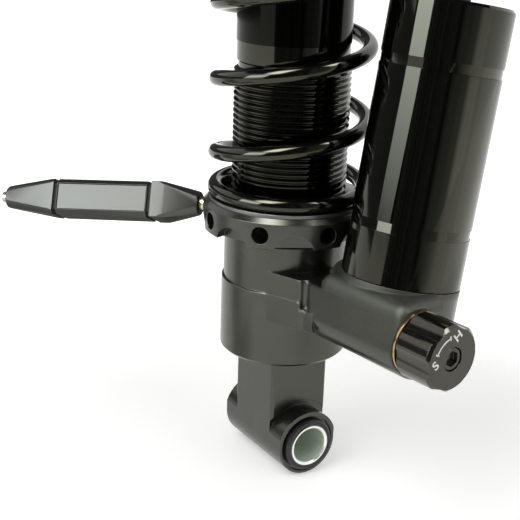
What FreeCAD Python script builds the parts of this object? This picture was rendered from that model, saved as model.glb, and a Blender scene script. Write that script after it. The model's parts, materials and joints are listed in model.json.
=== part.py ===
import FreeCAD, Part
import math
import os
import re
import Sketcher
from FreeCAD import Placement, Rotation, Vector

# Front shock absorber of a motor scooter, with a side reservoir and the rod that turns its collar.
# Millimetres. The origin is the centre of the lower eye, Z is the damper's axis and points up,
# X is the eye's bore, and the reservoir stands on the +X side.

doc = FreeCAD.newDocument("front_shock")
sheet = doc.addObject("Spreadsheet::Sheet", "Sizes")

DRIVING = [
    # lower eye and neck
    ("eye_bore", 13.0),
    ("eye_sleeve_diameter", 16.0),
    ("eye_sleeve_stand_out", 0.35),
    ("eye_bush_radius", 9.7),
    ("eye_bush_stand_out", 1.5),
    ("eye_boss_length", 37.7),
    ("neck_width", 23.3),
    ("neck_thickness", 24.7),
    ("boss_radius", 12.3),
    ("boss_relief", 2.3),
    # head
    ("head_bottom", 33.0),
    ("head_step", 59.9),
    ("head_top", 76.6),
    ("head_lower_radius", 22.7),
    ("head_upper_radius", 22.0),
    ("head_floor", 58.0),
    # arm, adjuster and the reservoir's foot
    ("arm_level", 60.8),
    ("arm_yaw", 6.0),
    ("arm_above", 11.8),
    ("arm_below", 15.0),
    ("arm_end", 73.0),
    ("arm_front", 13.4),
    ("arm_back", 4.0),
    ("arm_low_round", 11.0),
    ("arm_top_round", 3.5),
    ("arm_ledge", 6.7),
    ("arm_ledge_margin", 2.7),
    ("arm_ledge_out", 33.4),
    ("arm_ledge_front", 11.2),
    ("gusset_bearing", 60.0),
    ("gusset_out", 27.2),
    ("gusset_front", 14.3),
    ("gusset_drop", 10.8),
    ("gusset_foot_out", 31.4),
    ("groove_radius", 1.5),
    ("groove_floor", 3.4),
    ("knob_aside", 8.0),
    ("knob_radius", 10.8),
    ("knob_length", 13.8),
    ("knob_rim", 1.0),
    ("knob_scallops", 6.0),
    ("knob_scallop_radius", 9.0),
    ("knob_scallop_depth", 1.1),
    ("knob_turned", -23.0),
    ("knob_recess_radius", 3.9),
    ("knob_recess_depth", 2.6),
    ("knob_key_corner", 2.7),
    ("knob_screw_radius", 2.0),
    ("knob_screw_length", 5.3),
    ("knob_hollow", 5.0),
    ("adjuster_ring_radius", 10.4),
    ("adjuster_ring_width", 0.9),
    ("adjuster_gasket_width", 0.8),
    ("cartridge_radius", 4.3),
    ("cartridge_depth", 24.0),
    ("oil_way_radius", 2.0),
    ("oil_way_drop", 6.0),
    ("needle_reach", 5.0),
    ("needle_stem", 2.0),
    ("needle_seal_cord", 0.45),
    # reservoir
    ("reservoir_out", 49.2),
    ("reservoir_aside", 5.8),
    ("reservoir_level", 55.9),
    ("reservoir_lean_out", -1.8),
    ("reservoir_lean_aside", 9.9),
    ("reservoir_radius", 19.7),
    ("reservoir_wall", 2.25),
    ("reservoir_foot", 6.0),
    ("reservoir_seam", 15.5),
    ("reservoir_spigot", 9.0),
    ("lower_band", 35.5),
    ("upper_band", 86.8),
    ("band_width", 3.2),
    ("band_depth", 0.35),
    ("reservoir_top", 105.0),
    ("reservoir_cap_depth", 2.2),
    ("reservoir_cap_height", 9.0),
    ("cap_groove_height", 2.5),
    ("cap_groove_depth", 1.5),
    ("cap_seal_cord", 0.7),
    ("circlip_thickness", 1.1),
    ("circlip_groove_depth", 0.7),
    ("circlip_edge", 1.0),
    ("gas_valve_radius", 4.0),
    ("gas_valve_flange", 5.5),
    ("gas_valve_bore", 1.2),
    ("valve_cap_radius", 5.2),
    ("valve_cap_height", 5.8),
    ("floating_piston_level", 52.0),
    ("floating_piston_height", 16.0),
    ("floating_piston_floor", 3.5),
    ("floating_piston_wall", 3.0),
    ("floating_seal_height", 3.0),
    ("foot_seal_cord", 0.9),
    # damper tube
    ("tube_bore", 34.0),
    ("tube_seal_height", 1.2),
    ("tube_thread", 40.0),
    ("tube_smooth", 38.4),
    ("thread_pitch", 2.0),
    ("thread_depth", 1.1),
    ("thread_top", 133.0),
    ("thread_relief", 3.2),
    ("tube_top", 164.0),
    ("wrap_bottom", 142.8),
    ("wrap_wall", 0.25),
    # collar, washer and spring
    ("collar_bottom", 77.7),
    ("collar_height", 10.5),
    ("collar_radius", 29.7),
    ("collar_chamfer", 1.6),
    ("collar_holes", 8.0),
    ("collar_hole", 6.0),
    ("collar_hole_level", 4.8),
    ("collar_hole_floor", 21.8),
    ("collar_turned", -6.0),
    ("notch_radius", 6.95),
    ("notch_drop", 1.65),
    ("notch_floor", 25.4),
    ("washer_radius", 27.8),
    ("washer_thickness", 1.2),
    ("spring_radius", 25.66),
    ("spring_wire", 5.3),
    ("spring_pitch", 25.2),
    ("spring_active_turns", 4.0),
    ("spring_close_gap", 0.6),
    ("spring_start", 151.7),
    # rod and piston
    ("rod_diameter", 12.5),
    ("rod_tail_radius", 4.0),
    ("rod_tail_bottom", 107.0),
    ("piston_seat", 134.0),
    ("piston_height", 12.0),
    ("piston_radius", 16.4),
    ("piston_band_height", 7.0),
    ("piston_band_depth", 0.8),
    ("piston_ports", 6.0),
    ("piston_port_radius", 1.8),
    ("shim_radius", 12.0),
    ("shim_thickness", 0.3),
    ("shim_count", 5.0),
    ("shim_step", 1.2),
    ("plate_thickness", 1.6),
    ("piston_nut_height", 7.5),
    ("piston_nut_corner", 6.5),
    ("bumper_height", 4.0),
    ("stroke", 32.0),
    # rod guide
    ("guide_height", 20.0),
    ("guide_bush_wall", 1.0),
    ("guide_bush_height", 10.0),
    ("rod_seal_height", 4.0),
    ("rod_seal_radius", 10.5),
    ("cap_flange", 2.5),
    ("wiper_radius", 9.2),
    ("wiper_stand_out", 1.2),
    # top mount
    ("seat_thickness", 4.0),
    ("seat_radius", 29.2),
    ("seat_lip", 3.5),
    ("seat_lip_wall", 3.2),
    ("seat_hub", 6.0),
    ("bump_stop_wall", 5.6),
    ("bump_stop_gap", 0.5),
    ("stud_radius", 5.0),
    ("cup_thickness", 2.0),
    ("cup_radius", 15.5),
    ("cup_rim", 1.0),
    ("cup_rim_wall", 1.2),
    ("rubber_height", 10.0),
    ("rubber_radius", 14.0),
    ("spigot_radius", 9.0),
    ("spigot_height", 3.0),
    ("stud_nut_height", 8.0),
    ("stud_nut_flats", 17.0),
    ("stud_stand_out", 5.5),
    # turning rod
    ("turning_rod_yaw", -137.0),
    ("turning_rod_droop", 4.2),
    ("turning_rod_drop", 0.6),
    ("turning_rod_roll", 26.0),
    ("turning_rod_start", 3.1),
    ("turning_rod_length", 75.8),
    ("turning_rod_across", 13.2),
    ("turning_rod_neck", 8.8),
    ("turning_rod_tail", 8.1),
    ("turning_rod_taper", 15.0),
    ("turning_rod_swell", 1.8),
    ("turning_rod_facet", 0.13),
    ("turning_pin_radius", 2.3),
    ("turning_pin_reach", 7.2),
    ("turning_pin_grip", 12.9),
    ("turning_plug_radius", 2.1),
    ("turning_plug_grip", 4.9),
    ("turning_plug_stand_out", 2.8),
    ("panel_length", 34.5),
    ("panel_shift", 1.7),
    ("panel_width", 8.6),
    ("panel_depth", 0.4),
    ("handle_groove_width", 1.5),
    ("handle_groove_depth", 0.8),
    ("handle_groove_gap", 0.4),
    # clearances
    ("press_clearance", 0.05),
    ("running_clearance", 0.1),
    ("thread_clearance", 0.2),
]

for row, (alias, value) in enumerate(DRIVING, start=1):
    sheet.set(f"A{row}", alias)
    sheet.set(f"B{row}", str(value))
    sheet.setAlias(f"B{row}", alias)
doc.recompute()

ALIASES = {alias for alias, value in DRIVING}
UP = Vector(0, 0, 1)
HERE = Placement()
pieces = {}


def tied(text):
    """An expression in the sheet's words, with each word pointed at its cell."""
    return re.sub(r"[a-z_]+", lambda word: "Sizes." + word[0] if word[0] in ALIASES else word[0], str(text))


def size(text):
    """The present value of an expression in the sheet's words."""
    return float(sheet.evalExpression(tied(text).replace("Sizes.", "")))


def tie(thing, prop, text):
    thing.setExpression(prop, tied(text))


def keep(label, thing):
    thing.Label = label
    pieces[label] = thing
    return thing


def origin_part(body, role):
    return next(part for part in body.Origin.OriginFeatures if part.Role == role)


def outline(body, name, points, role="XZ_Plane", offset=HERE):
    """A closed sketch of straight lines. Each point is two expressions, and both are tied."""
    sketch = body.newObject("Sketcher::SketchObject", name)
    sketch.AttachmentSupport = [(origin_part(body, role), "")]
    sketch.MapMode = "FlatFace"
    sketch.AttachmentOffset = offset
    corners = [Vector(size(across), size(along), 0) for across, along in points]
    sides = [Part.LineSegment(a, b) for a, b in zip(corners, corners[1:] + corners[:1])]
    sketch.addGeometry(sides, False)
    last = len(points) - 1
    rules = [Sketcher.Constraint("Coincident", i, 2, 0 if i == last else i + 1, 1) for i in range(len(points))]
    for i, corner in enumerate(corners):
        rules.append(Sketcher.Constraint("DistanceX", -1, 1, i, 1, corner.x))
        rules.append(Sketcher.Constraint("DistanceY", -1, 1, i, 1, corner.y))
    sketch.addConstraint(rules)
    for i, (across, along) in enumerate(points):
        sketch.setExpression(f"Constraints[{len(points) + 2 * i}]", tied(across))
        sketch.setExpression(f"Constraints[{len(points) + 2 * i + 1}]", tied(along))
    return sketch


def round_sketch(body, name, across, along, radius, role, offset=HERE):
    """A sketch of one circle, tied in place and size."""
    sketch = body.newObject("Sketcher::SketchObject", name)
    sketch.AttachmentSupport = [(origin_part(body, role), "")]
    sketch.MapMode = "FlatFace"
    sketch.AttachmentOffset = offset
    centre = Vector(size(across), size(along), 0)
    sketch.addGeometry(Part.Circle(centre, UP, size(radius)), False)
    sketch.addConstraint([
        Sketcher.Constraint("DistanceX", -1, 1, 0, 3, centre.x),
        Sketcher.Constraint("DistanceY", -1, 1, 0, 3, centre.y),
        Sketcher.Constraint("Radius", 0, size(radius)),
    ])
    for i, text in enumerate((across, along, radius)):
        sketch.setExpression(f"Constraints[{i}]", tied(text))
    return sketch


def turned_body(label, points):
    """A body made by turning a closed outline of (radius, height) points about Z."""
    body = doc.addObject("PartDesign::Body", label)
    sketch = outline(body, label + "_outline", points)
    turn = body.newObject("PartDesign::Revolution", label + "_turned")
    turn.Profile = sketch
    turn.ReferenceAxis = (sketch, ["V_Axis"])
    turn.Angle = 360
    sketch.Visibility = False
    return body


def turned(label, points, place=HERE):
    body = turned_body(label, points)
    body.Placement = place
    return keep(label, body)


def ring(label, inner, outer, bottom, top, place=HERE):
    """A plain ring or bush."""
    return turned(label, [(inner, bottom), (outer, bottom), (outer, top), (inner, top)], place)


def seal_ring(label, radius, cord, level, place=HERE):
    """A round-section seal."""
    torus = doc.addObject("Part::Torus", label)
    tie(torus, "Radius1", radius)
    tie(torus, "Radius2", cord)
    torus.Placement = place.multiply(Placement(Vector(0, 0, size(level)), Rotation()))
    return keep(label, torus)


def cylinder(name, radius, length, place=HERE):
    solid = doc.addObject("Part::Cylinder", name)
    tie(solid, "Radius", radius)
    tie(solid, "Height", length)
    solid.Placement = place
    return solid


def box(name, length, width, height, place=HERE):
    solid = doc.addObject("Part::Box", name)
    tie(solid, "Length", length)
    tie(solid, "Width", width)
    tie(solid, "Height", height)
    solid.Placement = place
    return solid


def joined(name, parts):
    fuse = doc.addObject("Part::MultiFuse", name)
    fuse.Shapes = parts
    return fuse


def shared(name, first, second):
    common = doc.addObject("Part::Common", name)
    common.Base = first
    common.Tool = second
    return common


def cut(name, first, tool):
    result = doc.addObject("Part::Cut", name)
    result.Base = first
    result.Tool = tool
    return result


def rounded(name, solid, radius, wanted):
    """The solid with the edges that `wanted` picks rounded."""
    doc.recompute()
    fillet = doc.addObject("Part::Fillet", name)
    fillet.Base = solid
    edges = [i for i, edge in enumerate(solid.Shape.Edges, start=1) if wanted(edge)]
    fillet.Edges = [(i, size(radius), size(radius)) for i in edges]
    return fillet


def at(x, y, z, rotation=Rotation()):
    """A place whose three distances are expressions."""
    return Placement(Vector(size(x), size(y), size(z)), rotation)


ALONG_X = Rotation(Vector(0, 1, 0), 90)
ALONG_Y = Rotation(Vector(1, 0, 0), -90)

# The arm leaves the head level, turned a little from the eye's axis. In this frame X runs out along
# the arm, Y is to its side and Z is up. The knob's axis lies in front of the damper's axis.
arm_frame = at("0", "0", "arm_level", Rotation(UP, size("arm_yaw")))
knob_frame = arm_frame.multiply(at("arm_end", "-knob_aside", "0", ALONG_X))

# The reservoir leans. Its own frame has Z along its axis and its origin at the foot's level.
reservoir_foot_point = Placement(Vector(), Rotation(UP, size("arm_yaw"))).multVec(
    Vector(size("reservoir_out"), size("reservoir_aside"), 0))
reservoir_axis = Vector(math.tan(math.radians(size("reservoir_lean_out"))),
                        math.tan(math.radians(size("reservoir_lean_aside"))), 1)
reservoir_frame = Placement(reservoir_foot_point + Vector(0, 0, size("reservoir_level")),
                            Rotation(UP, reservoir_axis))


def bar_along_arm(name, start, end, low, high, front, back):
    """A block in the arm's frame, between two distances out, two heights and two sides."""
    return box(name, f"({end}) - ({start})", f"({back}) - ({front})", f"({high}) - ({low})",
               arm_frame.multiply(at(start, front, low)))


def plan_block(label, corners, low, high):
    """A block in the arm's frame with a plan outline of (out, aside) corners, between two heights."""
    body = doc.addObject("PartDesign::Body", label)
    sketch = outline(body, label + "_plan", corners, "XY_Plane")
    pad = body.newObject("PartDesign::Pad", label + "_raised")
    pad.Profile = sketch
    tie(pad, "Length", f"({high}) - ({low})")
    sketch.Visibility = False
    body.Placement = arm_frame.multiply(at("0", "0", low))
    return body


# Lower body: eye, neck, head, arm and the reservoir's foot, cut from one block

def make_eye_and_neck():
    half_boss = "eye_boss_length / 2"
    barrel = cylinder("barrel", "neck_width / 2", "eye_boss_length", at(f"-{half_boss}", "0", "0", ALONG_X))
    wide = cylinder("boss_round", "boss_radius", "eye_boss_length", at(f"-{half_boss}", "0", "0", ALONG_X))
    flanks = box("boss_flanks", "eye_boss_length", "neck_width", "boss_radius + 1",
                 at(f"-{half_boss}", "-neck_width / 2", "0"))
    boss = shared("boss", wide, flanks)
    neck = box("neck_block", "neck_thickness", "neck_width", "head_bottom + 4",
               at("-neck_thickness / 2", "-neck_width / 2", "0"))
    neck_round = rounded("neck", neck, "1.2", lambda edge: edge.Length > size("head_bottom"))
    half_neck = "neck_thickness / 2"
    reliefs = []
    for side, start in (("left", f"-{half_neck}"), ("right", f"{half_neck} - 1")):
        outer = cylinder(f"relief_outer_{side}", "boss_radius + boss_relief", "1", at(start, "0", "0", ALONG_X))
        inner = cylinder(f"relief_inner_{side}", "boss_radius", "1", at(start, "0", "0", ALONG_X))
        reliefs.append(cut(f"relief_{side}", outer, inner))
    relieved = cut("neck_relieved", neck_round, joined("reliefs", reliefs))
    return joined("eye_and_neck", [barrel, boss, relieved])


def make_head():
    lower = turned_body("head_lower", [
        ("0", "head_bottom"),
        ("head_lower_radius - 1", "head_bottom"),
        ("head_lower_radius", "head_bottom + 1"),
        ("head_lower_radius", "head_step - 0.4"),
        ("head_lower_radius - 0.4", "head_step"),
        ("head_upper_radius", "head_step"),
        ("head_upper_radius", "head_top - 0.6"),
        ("head_upper_radius - 0.6", "head_top"),
        ("0", "head_top"),
    ])
    return lower


def on_front_edge(edge, above):
    """Whether an edge runs out along the arm at its front, above or below its middle."""
    turn = Rotation(UP, size("arm_yaw"))
    runs_out = abs(edge.tangentAt(edge.FirstParameter).dot(turn.multVec(Vector(1, 0, 0)))) > 0.99
    middle = edge.CenterOfMass - arm_frame.Base
    in_front = middle.dot(turn.multVec(Vector(0, 1, 0))) < 0
    return runs_out and in_front and (middle.z > 0) == above


def make_arm():
    """The bar with its milled ledge between the head and the reservoir."""
    bar = bar_along_arm("arm_bar", "8", "arm_end", "-arm_below", "arm_above", "-arm_front", "arm_back")
    turn = Rotation(UP, size("arm_yaw"))

    def end_top(edge):
        across = abs(edge.tangentAt(edge.FirstParameter).dot(turn.multVec(Vector(0, 1, 0)))) > 0.99
        middle = edge.CenterOfMass - arm_frame.Base
        return across and middle.dot(turn.multVec(Vector(1, 0, 0))) > size("arm_end") / 2 and middle.z > 0

    bar_end = rounded("arm_bar_end", bar, "4.5", end_top)
    bar_low = rounded("arm_bar_low", bar_end, "arm_low_round", lambda edge: on_front_edge(edge, False))
    bar_top = rounded("arm_bar_top", bar_low, "arm_top_round", lambda edge: on_front_edge(edge, True))
    milled = bar_along_arm("ledge_milled", "4", "arm_ledge_out", "arm_ledge", "arm_above + 1",
                           "-arm_front - 1", "arm_back + 1")
    round_end = cylinder("ledge_round_end", "arm_ledge_margin", "arm_above + 1 - arm_ledge",
                         arm_frame.multiply(at("arm_ledge_out", "-arm_ledge_front", "arm_ledge")))
    kept = cylinder("ledge_end", "reservoir_radius + arm_ledge_margin", "reservoir_top",
                    reservoir_frame.multiply(at("0", "0", "-reservoir_seam")))
    ledge = cut("ledge_cut", joined("ledge_space", [milled, round_end]), kept)
    seat = cylinder("reservoir_seat", "reservoir_radius + press_clearance", "reservoir_seam",
                    reservoir_frame.multiply(at("0", "0", "reservoir_seam")))
    return cut("arm_with_ledge", bar_top, joined("arm_cuts", [ledge, seat]))


def gusset_corner(radius):
    """Where the gusset's front leaves the head, just inside a radius."""
    return (f"({radius} - 0.6) * cos(gusset_bearing)", f"-({radius} - 0.6) * sin(gusset_bearing)")


def make_gusset():
    """The web that carries the head's front over to the arm, with the groove down its end."""
    step = "(head_lower_radius - head_upper_radius) / 2"
    upper = plan_block("gusset_upper", [
        gusset_corner("head_upper_radius"),
        ("gusset_out", "-gusset_front"),
        ("gusset_out", "-arm_front + 3"),
        ("head_upper_radius / 2", "-arm_front + 3"),
    ], "head_step - arm_level - 1", "arm_ledge")
    lower = plan_block("gusset_lower", [
        gusset_corner("head_lower_radius"),
        ("gusset_out", f"-gusset_front - ({step})"),
        ("gusset_out", "-arm_front + 3"),
        ("head_lower_radius / 2", "-arm_front + 3"),
    ], "-gusset_drop", "head_step - arm_level")
    foot = plan_block("gusset_foot", [
        ("gusset_out - 3", f"-gusset_front - ({step})"),
        ("gusset_foot_out", "-arm_front - 0.3"),
        ("gusset_foot_out", "-arm_front + 6"),
        ("gusset_out - 3", "-arm_front + 6"),
    ], "-gusset_drop", "-groove_floor")
    groove = cylinder("gusset_groove", "groove_radius", "arm_above + groove_floor",
                      arm_frame.multiply(at("gusset_out + 0.2", "-gusset_front + 0.4", "-groove_floor")))
    return cut("gusset", joined("gusset_blank", [upper, lower, foot]), groove), groove


def make_reservoir_foot():
    foot = doc.addObject("Part::Cylinder", "foot_round")
    tie(foot, "Radius", "reservoir_radius")
    tie(foot, "Height", "reservoir_foot + reservoir_seam")
    foot.Placement = reservoir_frame.multiply(at("0", "0", "-reservoir_foot"))
    foot_soft = rounded("foot_soft", foot, "3", lambda edge: (
        edge.Curve.TypeId == "Part::GeomCircle"
        and (edge.CenterOfMass - foot.Placement.Base).Length < 1))
    limit = bar_along_arm("foot_limit", "8", "arm_end", "-arm_below", "2 * arm_above", "-arm_front",
                          "reservoir_aside + 2 * reservoir_radius")
    limit_low = rounded("foot_limit_low", limit, "arm_low_round", lambda edge: on_front_edge(edge, False))
    spigot = cylinder("foot_spigot", "reservoir_radius - reservoir_wall - press_clearance",
                      "reservoir_spigot + 1", reservoir_frame.multiply(at("0", "0", "reservoir_seam - 1")))
    return [shared("foot", foot_soft, limit_low), spigot]


def make_lower_body():
    gusset, groove = make_gusset()
    arm = cut("arm", make_arm(), groove)
    whole = joined("lower_blank", [make_eye_and_neck(), make_head(), arm, gusset] + make_reservoir_foot())
    throat_out = "arm_end - cartridge_depth - needle_reach - oil_way_radius"
    bores = [
        cylinder("eye_housing_bore", "eye_bush_radius + press_clearance", "eye_boss_length + 2",
                 at("-eye_boss_length / 2 - 1", "0", "0", ALONG_X)),
        cylinder("tube_socket", "tube_thread / 2 + press_clearance", "head_top", at("0", "0", "head_floor")),
        cylinder("cartridge_bore", "cartridge_radius + press_clearance", "cartridge_depth + 1",
                 knob_frame.multiply(at("0", "0", "-cartridge_depth"))),
        cylinder("needle_chamber", "oil_way_radius + 0.6", "needle_reach - 1",
                 knob_frame.multiply(at("0", "0", "-cartridge_depth - needle_reach + 2"))),
        cylinder("needle_throat", "oil_way_radius - 0.4", "4.1",
                 knob_frame.multiply(at("0", "0", "-cartridge_depth - needle_reach - 2"))),
        cylinder("oil_way_out", "oil_way_radius", f"{throat_out} + oil_way_radius",
                 arm_frame.multiply(at("0", "-knob_aside", "-oil_way_drop", ALONG_X))),
        cylinder("oil_way_rise", "oil_way_radius - 0.3", "oil_way_drop",
                 arm_frame.multiply(at(throat_out, "-knob_aside", "-oil_way_drop"))),
        cylinder("oil_way_cross", "oil_way_radius - 0.3", "knob_aside + reservoir_aside",
                 arm_frame.multiply(at("reservoir_out - 1", "-knob_aside", "0", ALONG_Y))),
        cylinder("oil_way_up", "oil_way_radius", "reservoir_seam + reservoir_spigot + 1", reservoir_frame),
        cylinder("piston_well", "tube_bore / 2 - 4", "oil_way_drop + 4", at("0", "0", "head_floor - 8")),
    ]
    for side, start in (("left", "-eye_boss_length / 2 - 0.01"), ("right", "eye_boss_length / 2 - 1.2")):
        bores.append(cylinder(f"counterbore_{side}", "eye_bush_radius + 1", "1.21",
                              at(start, "0", "0", ALONG_X)))
    return keep("lower_body", cut("lower_body", whole, joined("lower_bores", bores)))


# Eye bushes and sleeve

def make_eye_fittings():
    half = "eye_boss_length / 2"
    halves = []
    for side, turn in (("left", Rotation(Vector(0, 1, 0), -90)), ("right", ALONG_X)):
        bush = turned_body(f"eye_bush_{side}", [
            ("eye_sleeve_diameter / 2 + press_clearance", "0.3"),
            ("eye_bush_radius", "0.3"),
            ("eye_bush_radius", f"{half} + eye_bush_stand_out - 0.6"),
            ("eye_bush_radius - 0.6", f"{half} + eye_bush_stand_out"),
            ("eye_sleeve_diameter / 2 + press_clearance", f"{half} + eye_bush_stand_out"),
        ])
        bush.Placement = Placement(Vector(), turn)
        halves.append(bush)
    pair = doc.addObject("Part::Compound", "eye_bushes")
    pair.Links = halves
    keep("eye_bushes", pair)
    inner = "eye_bore / 2"
    outer = "eye_sleeve_diameter / 2"
    end = "eye_boss_length / 2 + eye_bush_stand_out + eye_sleeve_stand_out"
    turned("eye_sleeve", [
        (f"{inner} + 0.5", f"-({end})"),
        (f"{outer} - 0.4", f"-({end})"),
        (outer, f"-({end}) + 0.4"),
        (outer, f"{end} - 0.4"),
        (f"{outer} - 0.4", end),
        (f"{inner} + 0.5", end),
        (inner, f"{end} - 0.5"),
        (inner, f"-({end}) + 0.5"),
    ], Placement(Vector(), ALONG_X))


# Damper tube with its outer thread, its seal and the film round its plain part

def make_damper_tube():
    body = turned_body("damper_tube", [
        ("tube_bore / 2", "head_floor + tube_seal_height"),
        ("tube_thread / 2", "head_floor + tube_seal_height"),
        ("tube_thread / 2", "thread_top"),
        ("tube_smooth / 2 - 0.6", "thread_top + 1"),
        ("tube_smooth / 2 - 0.6", "thread_top + thread_relief - 0.6"),
        ("tube_smooth / 2", "thread_top + thread_relief"),
        ("tube_smooth / 2", "tube_top"),
        ("tube_bore / 2", "tube_top"),
    ])
    root = "tube_thread / 2 - thread_depth"
    first = "head_top - thread_pitch"
    groove_sketch = outline(body, "thread_groove", [
        (root, f"{first} + 0.45 * thread_pitch"),
        ("tube_thread / 2 + 0.05", f"{first} + 0.1 * thread_pitch"),
        ("tube_thread / 2 + 0.05", f"{first} + 0.9 * thread_pitch"),
        (root, f"{first} + 0.55 * thread_pitch"),
    ])
    groove = body.newObject("PartDesign::Groove", "thread_cut")
    groove.Profile = groove_sketch
    groove.ReferenceAxis = (groove_sketch, ["V_Axis"])
    groove.Angle = 360
    doc.recompute()
    rows = body.newObject("PartDesign::LinearPattern", "thread_rows")
    rows.Originals = [groove]
    rows.Direction = (groove_sketch, ["V_Axis"])
    turns = "floor((thread_top - head_top) / thread_pitch) + 1"
    tie(rows, "Occurrences", turns)
    tie(rows, "Length", f"({turns} - 1) * thread_pitch")
    body.Tip = rows
    keep("damper_tube", body)
    ring("tube_seal", "tube_bore / 2 - 1", "tube_thread / 2 - 0.5", "head_floor",
         "head_floor + tube_seal_height")
    ring("tube_wrap", "tube_smooth / 2 + 0.01", "tube_smooth / 2 + wrap_wall", "wrap_bottom",
         "tube_top - 1")


# Rod guide in the tube's top, with its bush, seal, cap and wiper

def make_rod_guide():
    rod = "rod_diameter / 2"
    bottom = "piston_seat + bumper_height + 0.3"
    top = f"{bottom} + guide_height"
    seal_floor = f"{top} - rod_seal_height"
    bush_floor = f"{bottom} + 2"
    turned("rod_guide", [
        (f"{rod} + 0.3", bottom),
        ("tube_bore / 2 - press_clearance", bottom),
        ("tube_bore / 2 - press_clearance", top),
        ("rod_seal_radius + press_clearance", top),
        ("rod_seal_radius + press_clearance", seal_floor),
        (f"{rod} + 0.3", seal_floor),
        (f"{rod} + 0.3", f"{bush_floor} + guide_bush_height"),
        (f"{rod} + guide_bush_wall + press_clearance", f"{bush_floor} + guide_bush_height"),
        (f"{rod} + guide_bush_wall + press_clearance", bush_floor),
        (f"{rod} + 0.3", bush_floor),
    ])
    ring("guide_bush", f"{rod} + 0.03", f"{rod} + guide_bush_wall", f"{bush_floor} + 0.05",
         f"{bush_floor} + guide_bush_height - 0.05")
    turned("rod_seal", [
        (f"{rod} + 0.05", f"{seal_floor} + 1"),
        (f"{rod} + 1.6", f"{seal_floor} + 0.05"),
        ("rod_seal_radius", f"{seal_floor} + 0.05"),
        ("rod_seal_radius", f"{top} - 0.05"),
        (f"{rod} + 0.8", f"{top} - 0.05"),
        (f"{rod} + 0.05", f"{top} - 1"),
    ])
    wiper = "wiper_radius"
    turned("tube_cap", [
        (f"{rod} + 0.3", f"{top} + 0.05"),
        ("tube_bore / 2 - press_clearance", f"{top} + 0.05"),
        ("tube_bore / 2 - press_clearance", "tube_top"),
        ("tube_smooth / 2", "tube_top"),
        ("tube_smooth / 2", "tube_top + cap_flange - 0.8"),
        ("tube_smooth / 2 - 0.8", "tube_top + cap_flange"),
        (f"{wiper} + press_clearance", "tube_top + cap_flange"),
        (f"{wiper} + press_clearance", "tube_top - 0.6"),
        (f"{rod} + 0.3", "tube_top - 0.6"),
    ])
    turned("rod_wiper", [
        (f"{rod} + 0.05", "tube_top + 0.8"),
        (f"{rod} + 1.4", "tube_top - 0.55"),
        (wiper, "tube_top - 0.55"),
        (wiper, "tube_top + cap_flange"),
        (f"{rod} + 1.6", "tube_top + cap_flange + wiper_stand_out"),
        (f"{rod} + 0.05", "tube_top + cap_flange + wiper_stand_out"),
    ])


# Reservoir, in its own leaning frame

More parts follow.
